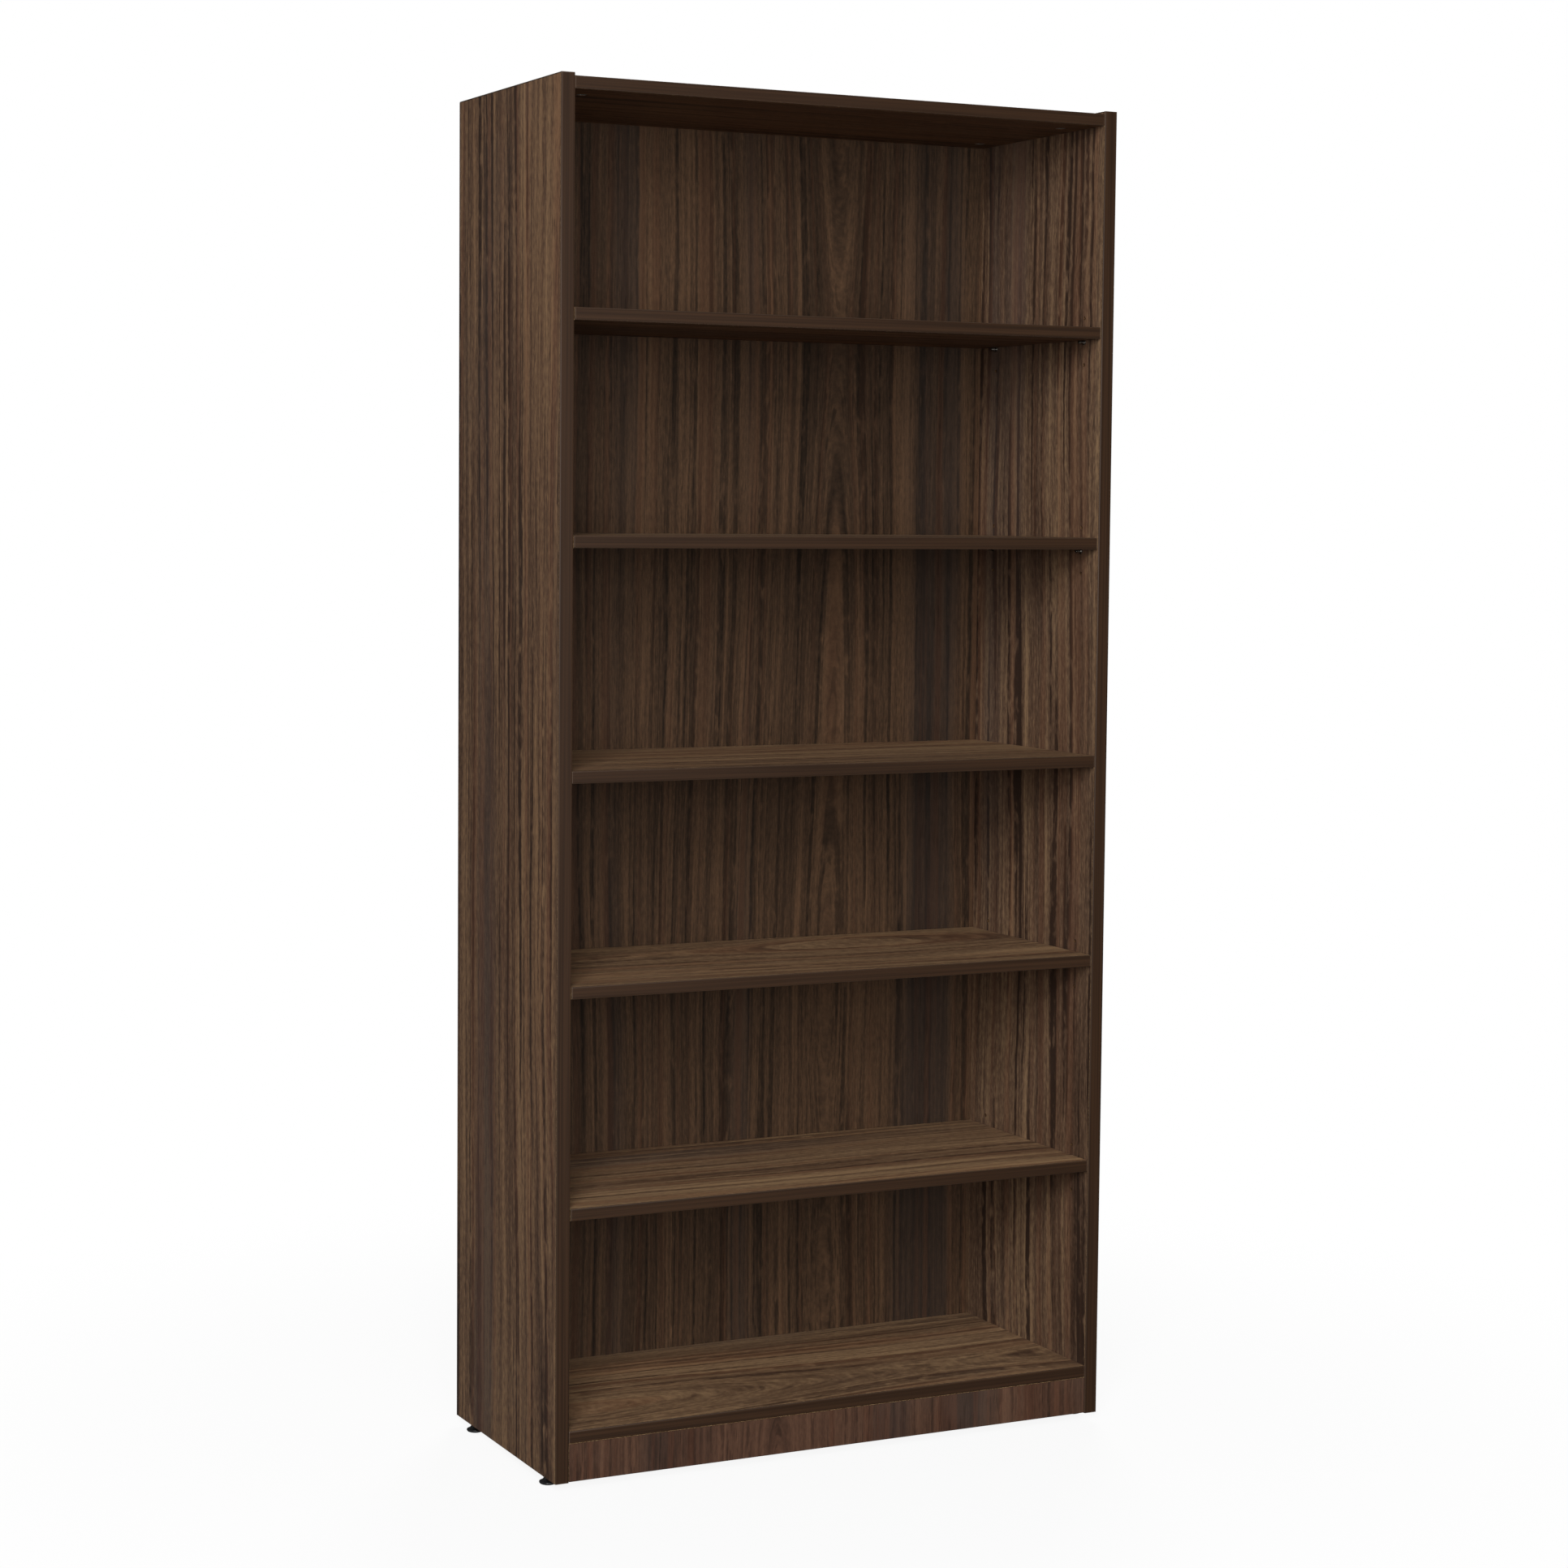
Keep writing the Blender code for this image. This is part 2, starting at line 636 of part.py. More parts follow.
def screw_glide(corner, place):
    """A bell-shaped pad and the threaded stem that turns in it."""
    waist = (PAD_RADIUS + PAD_NECK_RADIUS) / 2
    waist_height = (PAD_RIM_HEIGHT + PAD_HEIGHT) / 2
    pad = turned(
        f"glide_pad_{corner}",
        (
            (0, SOCKET_FLOOR),
            (SOCKET_RADIUS, SOCKET_FLOOR),
            (SOCKET_RADIUS, PAD_HEIGHT),
            (PAD_NECK_RADIUS, PAD_HEIGHT),
            (waist, waist_height),
            (PAD_RADIUS - PAD_ROUNDING, PAD_RIM_HEIGHT + PAD_ROUNDING),
            (PAD_RADIUS, PAD_RIM_HEIGHT),
            (PAD_RADIUS - PAD_ROUNDING, PAD_RIM_HEIGHT / 2),
            (PAD_RADIUS - PAD_UNDERCUT, PAD_ROUNDING),
            (PAD_FOOT_RADIUS, 0),
            (0, 0),
        ),
        BLACK,
        PAD_SIDES,
    )
    stem = turned(
        f"glide_stem_{corner}",
        (
            (0, STEM_TOP),
            (STEM_RADIUS - STEM_CHAMFER, STEM_TOP),
            (STEM_RADIUS, STEM_TOP - STEM_CHAMFER),
            (STEM_RADIUS, STEM_FOOT),
            (0, STEM_FOOT),
        ),
        STEEL,
        BORE_SIDES,
    )
    hexagon = bmesh.new()
    middle = Vector((*place.xy, COLLAR_LOW + OVERSHOOT))
    depth = COLLAR_HIGH - COLLAR_LOW - OVERSHOOT
    add_bore(hexagon, middle, -DOWN, depth, COLLAR_RADIUS, COLLAR_SIDES)
    join(stem, add_object(f"glide_collar_{corner}", hexagon, STEEL))
    pad.location = place
    stem.location = place


def build():
    """Makes every piece of the bookcase."""
    for side in SIDES:
        side_panel(side)
        for corner, place in glide_places(side).items():
            screw_glide(corner, place)
    fixed_board("top_panel", BACK)
    fixed_board("fixed_shelf", BOARD_REAR)
    fixed_board("bottom_shelf", BOARD_REAR)
    kick_plate()
    back_panel()
    for number, top in enumerate(ADJUSTABLE_TOPS, start=1):
        adjustable_shelf(number, top)
    shelf_pins()
    cam_fixings()
    glide_nuts()


build()
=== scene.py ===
"""The looks of a tall open bookcase in walnut laminate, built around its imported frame.

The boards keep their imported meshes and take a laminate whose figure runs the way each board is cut.
Edge bands, shelf pins, screw glides, dowels and the screws of the back are surfaces of their own.
"""

import logging
from dataclasses import dataclass, field
from enum import Enum
from math import pi, radians, tau

import bpy
import numpy as np
from mathutils import Matrix, Vector


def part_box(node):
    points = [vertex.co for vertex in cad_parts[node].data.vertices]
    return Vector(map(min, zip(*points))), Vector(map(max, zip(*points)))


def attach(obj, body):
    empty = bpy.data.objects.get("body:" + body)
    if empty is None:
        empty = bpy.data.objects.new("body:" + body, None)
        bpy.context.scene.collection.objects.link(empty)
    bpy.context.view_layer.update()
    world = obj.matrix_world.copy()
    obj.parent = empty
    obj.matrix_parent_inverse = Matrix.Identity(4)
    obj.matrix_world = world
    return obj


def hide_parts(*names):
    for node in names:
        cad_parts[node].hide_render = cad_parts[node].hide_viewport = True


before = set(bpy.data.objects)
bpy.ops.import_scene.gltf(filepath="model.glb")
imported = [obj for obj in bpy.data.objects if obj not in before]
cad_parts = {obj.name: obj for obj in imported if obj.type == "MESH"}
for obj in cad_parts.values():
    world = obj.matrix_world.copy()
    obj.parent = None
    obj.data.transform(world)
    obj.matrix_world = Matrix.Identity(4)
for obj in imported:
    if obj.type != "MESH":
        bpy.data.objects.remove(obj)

log = logging.getLogger("bookcase")

Colour = tuple[float, float, float]
Triple = tuple[float, float, float]

SIDES = ("left", "right")
ENDS = ("front", "rear")
LEVEL_BOARDS = ("top_panel", "fixed_shelf", "bottom_shelf")
LOOSE_SHELVES = (1, 2, 3, 4)
ROOT = "root"
FACING = 0.7  # a face whose normal has more than this along an axis faces that way


def srgb(red: int, green: int, blue: int) -> Colour:
    """Turns display values into a linear colour.

    Args:
        red: the red value, from 0 to 255.
        green: the green value.
        blue: the blue value.

    Returns:
        The colour's three parts, from 0 to 1.
    """
    shown = np.array((red, green, blue)) / 255
    linear = np.where(shown <= 0.04045, shown / 12.92, ((shown + 0.055) / 1.055) ** 2.4)
    return tuple(float(part) for part in linear)


def side_sign(side: str) -> int:
    """-1 for the left side panel and 1 for the right one."""
    return -1 if side == "left" else 1


# ---------------------------------------------------------------- node trees


class Bench:
    """A shader node tree on the bench: it adds nodes, sets their values and joins their sockets."""

    def __init__(self, tree: bpy.types.NodeTree) -> None:
        """Keeps the tree that the nodes go into."""
        self.tree = tree

    def node(self, kind: str, **settings: object) -> bpy.types.Node:
        """Adds a node.

        Args:
            kind: the node's type, without the leading "ShaderNode".
            **settings: the node's own properties.

        Returns:
            The new node.
        """
        made = self.tree.nodes.new("ShaderNode" + kind)
        for name, value in settings.items():
            setattr(made, name, value)
        return made

    def feed(self, socket: bpy.types.NodeSocket, value: object) -> None:
        """Joins an output to an input, or sets the input to a plain value.

        Args:
            socket: the input.
            value: an output socket, a number, a vector, or a colour of three parts.
        """
        if isinstance(value, bpy.types.NodeSocket):
            self.tree.links.new(value, socket)
        elif socket.type == "RGBA":
            socket.default_value = (*value, 1.0)
        else:
            socket.default_value = value

    def math(self, operation: str, *values: object, clamp: bool = False) -> bpy.types.NodeSocket:
        """Adds a Math node.

        Args:
            operation: what it works out.
            *values: numbers or sockets, in order.
            clamp: whether the result stays between 0 and 1.

        Returns:
            Its result.
        """
        made = self.node("Math", operation=operation, use_clamp=clamp)
        for socket, value in zip(made.inputs, values):
            self.feed(socket, value)
        return made.outputs[0]

    def vector(self, operation: str, *values: object) -> bpy.types.NodeSocket:
        """Adds a Vector Math node.

        Args:
            operation: what it works out.
            *values: vectors or sockets, in order.

        Returns:
            Its vector result.
        """
        made = self.node("VectorMath", operation=operation)
        for socket, value in zip(made.inputs, values):
            self.feed(socket, value)
        return made.outputs["Vector"]

    def split(self, vector: bpy.types.NodeSocket) -> tuple[bpy.types.NodeSocket, ...]:
        """Takes a vector apart.

        Args:
            vector: the vector.

        Returns:
            Its X, Y and Z.
        """
        made = self.node("SeparateXYZ")
        self.feed(made.inputs[0], vector)
        return tuple(made.outputs)

    def gather(self, *parts: object) -> bpy.types.NodeSocket:
        """Puts a vector together.

        Args:
            *parts: its X, Y and Z, each a number or a socket.

        Returns:
            The vector.
        """
        made = self.node("CombineXYZ")
        for socket, part in zip(made.inputs, parts):
            self.feed(socket, part)
        return made.outputs[0]

    def stretched(
        self, vector: bpy.types.NodeSocket, scale: Triple, shift: Triple = (0.0, 0.0, 0.0)
    ) -> bpy.types.NodeSocket:
        """Scales a vector on each axis and then shifts it.

        Args:
            vector: the vector.
            scale: the factor on each axis.
            shift: what is then added.

        Returns:
            The new vector.
        """
        made = self.node("Mapping")
        self.feed(made.inputs["Vector"], vector)
        made.inputs["Scale"].default_value = scale
        made.inputs["Location"].default_value = shift
        return made.outputs[0]

    def noise(
        self, vector: bpy.types.NodeSocket, scale: float = 1.0, detail: float = 2.0,
        roughness: float = 0.5,
    ) -> bpy.types.NodeSocket:
        """Adds a Noise Texture.

        Args:
            vector: where the noise is read.
            scale: how closely its marks lie.
            detail: how many finer noises it holds.
            roughness: how strong those are.

        Returns:
            Its value, centred on one half.
        """
        made = self.node("TexNoise")
        self.feed(made.inputs["Vector"], vector)
        made.inputs["Scale"].default_value = scale
        made.inputs["Detail"].default_value = detail
        made.inputs["Roughness"].default_value = roughness
        return made.outputs[0]

    def step(self, value: object, low: float, high: float) -> bpy.types.NodeSocket:
        """Adds a smooth step.

        Args:
            value: the number that is stepped.
            low: where the step is 0.
            high: where it is 1, which may be the lower of the two.

        Returns:
            The step, from 0 to 1.
        """
        made = self.node("MapRange", interpolation_type="SMOOTHSTEP")
        self.feed(made.inputs["Value"], value)
        made.inputs["From Min"].default_value = low
        made.inputs["From Max"].default_value = high
        return made.outputs[0]

    def mix(self, share: object, first: object, second: object, blend: str = "MIX") -> bpy.types.NodeSocket:
        """Mixes two colours.

        Args:
            share: how much of the second is laid on, from 0 to 1.
            first: the colour beneath.
            second: the colour that is laid on.
            blend: how it is laid on.

        Returns:
            The mixed colour.
        """
        made = self.node("Mix", data_type="RGBA", blend_type=blend)
        self.feed(made.inputs[0], share)
        self.feed(made.inputs[6], first)
        self.feed(made.inputs[7], second)
        return made.outputs[2]

    def between(self, share: object, first: object, second: object) -> bpy.types.NodeSocket:
        """Mixes two numbers.

        Args:
            share: 0 for the first, 1 for the second.
            first: the first number.
            second: the second number.

        Returns:
            The mixed number.
        """
        made = self.node("Mix")
        self.feed(made.inputs[0], share)
        self.feed(made.inputs[2], first)
        self.feed(made.inputs[3], second)
        return made.outputs[0]

    def ramp(self, value: object, stops: tuple[tuple[float, Colour], ...]) -> bpy.types.NodeSocket:
        """A colour ramp.

        Args:
            value: where on the ramp, from 0 to 1.
            stops: places and their colours, in order.

        Returns:
            The colour socket.
        """
        made = self.node("ValToRGB")
        self.feed(made.inputs[0], value)
        ramp = made.color_ramp
        while len(ramp.elements) < len(stops):
            ramp.elements.new(0.5)
        for element, (place, colour) in zip(ramp.elements, stops):
            element.position = place
            element.color = (*colour, 1.0)
        return made.outputs[0]

    def bump(self, height: object, distance: float, strength: float = 1.0) -> bpy.types.NodeSocket:
        """Adds a Bump node.

        Args:
            height: the relief, from 0 to 1.
            distance: how high a relief of 1 stands, in metres.
            strength: how much of the relief is used.

        Returns:
            The bumped normal.
        """
        made = self.node("Bump")
        made.inputs["Distance"].default_value = distance
        made.inputs["Strength"].default_value = strength
        self.feed(made.inputs["Height"], height)
        return made.outputs[0]


class Effect:
    """A shader node group that several finishes share.

    A subclass names its sockets, as (name, type) pairs, and fills the group.
    """

    title = ""
    takes: tuple[tuple[str, str], ...] = ()
    gives: tuple[tuple[str, str], ...] = ()

    def __init__(self) -> None:
        """Makes the group's sockets and fills it."""
        self.tree = bpy.data.node_groups.new(self.title, "ShaderNodeTree")
        for name, kind in self.takes:
            self.tree.interface.new_socket(name, in_out="INPUT", socket_type=f"NodeSocket{kind}")
        for name, kind in self.gives:
            self.tree.interface.new_socket(name, in_out="OUTPUT", socket_type=f"NodeSocket{kind}")
        bench = Bench(self.tree)
        given = self.tree.nodes.new("NodeGroupInput").outputs
        results = self.fill(bench, {name: given[name] for name, _ in self.takes})
        shown = self.tree.nodes.new("NodeGroupOutput").inputs
        for name, result in results.items():
            bench.feed(shown[name], result)

    def fill(self, b: Bench, given: dict[str, bpy.types.NodeSocket]) -> dict[str, bpy.types.NodeSocket]:
        """Fills the group, which each effect does in its own way."""
        raise NotImplementedError

    def place(self, b: Bench, **values: object) -> dict[str, bpy.types.NodeSocket]:
        """Places the group in a material.

        Args:
            b: the material's bench.
            **values: a socket or value for each input.

        Returns:
            The group's outputs by name.
        """
        made = b.node("Group", node_tree=self.tree)
        for name, value in values.items():
            b.feed(made.inputs[name], value)
        return {name: made.outputs[name] for name, _ in self.gives}


@dataclass(frozen=True)
class Layer:
    """One noise of the figure, drawn out along the board.

    Args:
        scale: how closely its marks lie across, along and through the board.
        shift: where in the noise it is read.
        detail: how many finer noises it holds.
        roughness: how strong those are.
        edges: the values where a mark begins and where it is full, or None for a plain noise.
        weight: how strongly it shows.
    """

    scale: Triple
    shift: Triple = (0.0, 0.0, 0.0)
    detail: float = 2.0
    roughness: float = 0.5
    edges: tuple[float, float] | None = None
    weight: float = 1.0

    def lay(self, b: Bench, place: bpy.types.NodeSocket) -> bpy.types.NodeSocket:
        """Reads the noise.

        Args:
            b: the group's bench.
            place: where the noise is read.

        Returns:
            Its value, centred on one half, or its marks, from 0 to 1.
        """
        drawn_out = b.stretched(place, self.scale, self.shift)
        value = b.noise(drawn_out, detail=self.detail, roughness=self.roughness)
        return b.step(value, *self.edges) if self.edges else value

    def sway(self, b: Bench, value: bpy.types.NodeSocket) -> bpy.types.NodeSocket:
        """The noise times its weight, centred on 0."""
        return b.math("MULTIPLY_ADD", value, self.weight, -self.weight / 2)

    def weigh(self, b: Bench, marks: bpy.types.NodeSocket) -> bpy.types.NodeSocket:
        """The marks times their weight."""
        return b.math("MULTIPLY", marks, self.weight)


class WalnutFigure(Effect):
    """Walnut figure: streaks along the vector's Y that bend into arches round its X of 0.

    The distance from the heart line is the root of X squared plus the heart's depth squared, and
    the depth changes slowly along the board, so that the streaks close into arches near the heart
    and stay straight away from it. Streaks are noise drawn out along the board.

    The noises in wander bend the streaks, and those in layers draw them round an even tone. The
    heart's depth is read along one row of a noise, at its own pace, and is never quite steady.
    """

    title = "walnut_figure"
    takes = (
        ("Vector", "Vector"), ("Dark", "Color"), ("Body", "Color"), ("Light", "Color"),
        ("Cool", "Color"), ("Warm", "Color"), ("Arch", "Float"), ("Contrast", "Float"),
    )
    gives = (("Color", "Color"), ("Height", "Float"), ("Tone", "Float"))

    even_tone = 0.59
    heart_row = 7.3
    heart_pace = 1.1
    heart_range = (2.6, -0.5)
    wander = (
        Layer((3.0, 0.6, 3.0), detail=1.0, weight=0.05),
        Layer((16.0, 2.4, 16.0), (4.1, 0.0, 0.0), detail=1.0, weight=0.008),
        Layer((40.0, 14.0, 40.0), (2.2, 0.0, 0.0), weight=0.003),
    )
    layers = {
        "broad": Layer((15.0, 0.30, 1.0), detail=1.5, weight=1.2),
        "streak": Layer((62.0, 0.9, 3.0), (11.0, 0.0, 0.0), roughness=0.6, weight=1.1),
        "fine": Layer((240.0, 2.2, 12.0), (5.0, 0.0, 0.0), detail=3.0, roughness=0.7, weight=2.0),
        "fleck": Layer((620.0, 95.0, 60.0), (1.0, 0.0, 0.0), roughness=0.6, weight=1.3),
        "dash": Layer((150.0, 30.0, 9.0), (6.0, 1.0, 0.0), edges=(0.28, 0.52)),
        "dark_line": Layer((165.0, 1.1, 7.0), (3.0, 2.0, 0.0), detail=1.0, edges=(0.53, 0.64), weight=0.78),
        "pale_line": Layer((120.0, 0.9, 6.0), (8.0, 5.0, 0.0), detail=1.0, edges=(0.58, 0.70), weight=0.28),
        "cool": Layer((13.0, 0.28, 1.0), (21.0, 9.0, 0.0), edges=(0.52, 0.68), weight=0.60),
        "warm": Layer((90.0, 0.6, 2.0), (2.0, 14.0, 0.0), edges=(0.50, 0.66), weight=0.30),
        "pore": Layer((1250.0, 30.0, 60.0), detail=0.0, edges=(0.60, 0.70), weight=0.55),
    }

    def fill(self, b: Bench, given: dict[str, bpy.types.NodeSocket]) -> dict[str, bpy.types.NodeSocket]:
        """Fills the group: wander, arches, streaks, flecks, broken lines, hue drift and pores.

        Args:
            b: the group's bench.
            given: its inputs by name.

        Returns:
            Its outputs by name.
        """
        across, along, depth = b.split(given["Vector"])
        bend = 0.0
        for layer in self.wander:
            bend = b.math("ADD", bend, layer.sway(b, layer.lay(b, given["Vector"])))
        offset = b.math("ADD", across, bend)
        paced = b.math("MULTIPLY", along, self.heart_pace)
        heart = b.noise(b.gather(self.heart_row, paced, 0.0), detail=1.0)
        reach = b.math("MULTIPLY_ADD", heart, *self.heart_range)
        heart_depth = b.math("MULTIPLY", given["Arch"], reach)
        squares = b.math("ADD", b.math("POWER", offset, 2.0), b.math("POWER", heart_depth, 2.0))
        ring = b.math("SQRT", squares)
        place = b.gather(ring, along, b.math("ADD", b.math("MULTIPLY", offset, 1.5), depth))

        layers = self.layers
        laid = {name: layer.lay(b, place) for name, layer in layers.items()}
        swing = 0.0
        for name in ("broad", "streak", "fine", "fleck"):
            swing = b.math("ADD", swing, layers[name].sway(b, laid[name]))
        swing = b.math("ADD", swing, layers["pale_line"].weigh(b, laid["pale_line"]))
        broken_line = b.math("MULTIPLY", laid["dark_line"], laid["dash"])
        swing = b.math("SUBTRACT", swing, layers["dark_line"].weigh(b, broken_line))
        tone = b.math("MULTIPLY_ADD", swing, given["Contrast"], self.even_tone, clamp=True)

        low = b.mix(b.math("MULTIPLY", tone, 2.0, clamp=True), given["Dark"], given["Body"])
        colour = b.mix(b.math("MULTIPLY_ADD", tone, 2.0, -1.0, clamp=True), low, given["Light"])
        colour = b.mix(layers["cool"].weigh(b, laid["cool"]), colour, given["Cool"])
        colour = b.mix(layers["warm"].weigh(b, laid["warm"]), colour, given["Warm"])
        pore = b.math("MULTIPLY", laid["pore"], b.step(laid["streak"], 0.66, 0.40))
        colour = b.mix(layers["pore"].weigh(b, pore), colour, given["Dark"])
        height = b.math("MULTIPLY_ADD", laid["fine"], 0.35, 0.5)
        height = b.math("SUBTRACT", height, b.math("MULTIPLY", pore, 0.5))
        return {"Color": colour, "Height": height, "Tone": tone}


class Arris(Effect):
    """A mask along the edges of a box: 1 on an arris, falling to 0 at Width from it.

    On the box's surface one of the three distances to its faces is 0, so the distance to the
    nearest arris is the middle one: their sum less the smallest and the largest.
    """

    title = "arris"
    takes = (("Vector", "Vector"), ("Middle", "Vector"), ("Half", "Vector"), ("Width", "Float"))
    gives = (("Mask", "Float"),)

    def fill(self, b: Bench, given: dict[str, bpy.types.NodeSocket]) -> dict[str, bpy.types.NodeSocket]:
        """Fills the group: the middle one of the three distances, as a share of the width.

        Args:
            b: the group's bench.
            given: its inputs by name.

        Returns:
            Its outputs by name.
        """
        from_middle = b.vector("ABSOLUTE", b.vector("SUBTRACT", given["Vector"], given["Middle"]))
        x, y, z = b.split(b.vector("ABSOLUTE", b.vector("SUBTRACT", given["Half"], from_middle)))
        total = b.math("ADD", b.math("ADD", x, y), z)
        least = b.math("MINIMUM", b.math("MINIMUM", x, y), z)
        most = b.math("MAXIMUM", b.math("MAXIMUM", x, y), z)
        distance = b.math("SUBTRACT", b.math("SUBTRACT", total, least), most)
        share = b.math("DIVIDE", distance, given["Width"])
        return {"Mask": b.step(share, 1.0, 0.0)}


class Handling(Effect):
    """The uneven sheen that wiping and handling leave: a roughness, and a thin veil of dust."""

    title = "handling"
    takes = (("Vector", "Vector"), ("Roughness", "Float"), ("Spread", "Float"))
    gives = (("Roughness", "Float"), ("Veil", "Float"))

    def fill(self, b: Bench, given: dict[str, bpy.types.NodeSocket]) -> dict[str, bpy.types.NodeSocket]:
        """Fills the group: broad smudges, and fine specks within them.

        Args:
            b: the group's bench.
            given: its inputs by name.

        Returns:
            Its outputs by name.
        """
        smudge = b.noise(given["Vector"], 6.0, 3.0, 0.6)
        speck = b.noise(given["Vector"], 700.0, 1.0)
        both = b.math("ADD", b.math("MULTIPLY_ADD", smudge, 2.0, -1.0),
                      b.math("MULTIPLY_ADD", speck, 0.8, -0.4))
        rough = b.math("MULTIPLY_ADD", both, given["Spread"], given["Roughness"], clamp=True)
        return {"Roughness": rough, "Veil": b.step(smudge, 0.50, 0.75)}


class Chipboard(Effect):
    """Raw chipboard: pale and dark flakes pressed flat, with pits between them."""

    title = "chipboard"
    takes = (("Vector", "Vector"),)
    gives = (("Color", "Color"), ("Height", "Float"))

    def fill(self, b: Bench, given: dict[str, bpy.types.NodeSocket]) -> dict[str, bpy.types.NodeSocket]:
        """Fills the group: one random tone for each flake, and a noise for the glue between.

        Args:
            b: the group's bench.
            given: its inputs by name.

        Returns:
            Its outputs by name.
        """
        flakes = b.node("TexVoronoi")
        b.feed(flakes.inputs["Vector"], given["Vector"])
        flakes.inputs["Scale"].default_value = 520.0
        tone, _, _ = b.split(flakes.outputs["Color"])
        dust = b.noise(given["Vector"], 1400.0, 2.0)
        tone = b.math("ADD", b.math("MULTIPLY", tone, 0.75), b.math("MULTIPLY_ADD", dust, 0.6, -0.18))
        colour = b.ramp(tone, (
            (0.0, srgb(74, 52, 34)), (0.45, srgb(140, 108, 74)), (1.0, srgb(186, 156, 116)),
        ))
        return {"Color": colour, "Height": tone}


# ---------------------------------------------------------------- finishes


class Grain(Enum):
    """Which way a board is cut: the axes across its grain, along it, and through its thickness."""

    SIDE = (1, 2, 0)
    UPRIGHT = (0, 2, 1)
    LEVEL = (1, 0, 2)


class Effects:
    """The shared node groups, made once."""

    def __init__(self) -> None:
        """Makes every group."""
        self.figure = WalnutFigure()
        self.arris = Arris()
        self.handling = Handling()
        self.chipboard = Chipboard()


@dataclass(frozen=True)
class Palette:
    """The colours of a walnut figure.

    Args:
        dark: its dark lines and pores.
        body: its middle tone.
        light: its pale streaks.
        cool: its greyer stretches.
        warm: its redder streaks.
    """

    dark: Colour = srgb(50, 35, 26)
    body: Colour = srgb(94, 70, 53)
    light: Colour = srgb(137, 107, 78)
    cool: Colour = srgb(69, 59, 55)
    warm: Colour = srgb(111, 71, 51)


# A shade paler than the left side's colours: painted light, standing in for the stronger light on the right
# side's inner face.
RIGHT_SIDE_PAINTED_LIGHT_PALETTE = Palette(
    dark=srgb(51, 37, 29), body=srgb(96, 74, 58), light=srgb(139, 112, 84),
    cool=srgb(70, 62, 60), warm=srgb(113, 75, 55),
)
# Paler than the sides' colours: partly a paler stretch of the laminate, partly painted light standing in for
# light from above on the shelves' tops.
SHELF_PALETTE = Palette(
    dark=srgb(67, 48, 36), body=srgb(110, 85, 63), light=srgb(158, 128, 94),
    cool=srgb(91, 78, 68), warm=srgb(126, 86, 60),
)
KICK_PALETTE = Palette(
    dark=srgb(33, 22, 16), body=srgb(61, 42, 32), light=srgb(84, 60, 46),
    cool=srgb(45, 36, 32), warm=srgb(76, 46, 32),
)
BACK_PALETTE = Palette(
    dark=srgb(25, 17, 10), body=srgb(50, 36, 25), light=srgb(78, 57, 40),
    cool=srgb(38, 31, 27), warm=srgb(61, 37, 24),
)


@dataclass(frozen=True)
class Finish:
    """What every finish has: a name, and a Principled shader that its nodes feed."""

    name: str

    def start(self) -> tuple[bpy.types.Material, Bench, bpy.types.Node, bpy.types.NodeSocket]:
        """Begins the material.

        Returns:
            The material, its bench, its Principled shader and its Object coordinates.
        """
        made = bpy.data.materials.new(self.name)
        made.use_nodes = True
        bench = Bench(made.node_tree)
        shader = made.node_tree.nodes["Principled BSDF"]
        return made, bench, shader, bench.node("TexCoord").outputs["Object"]


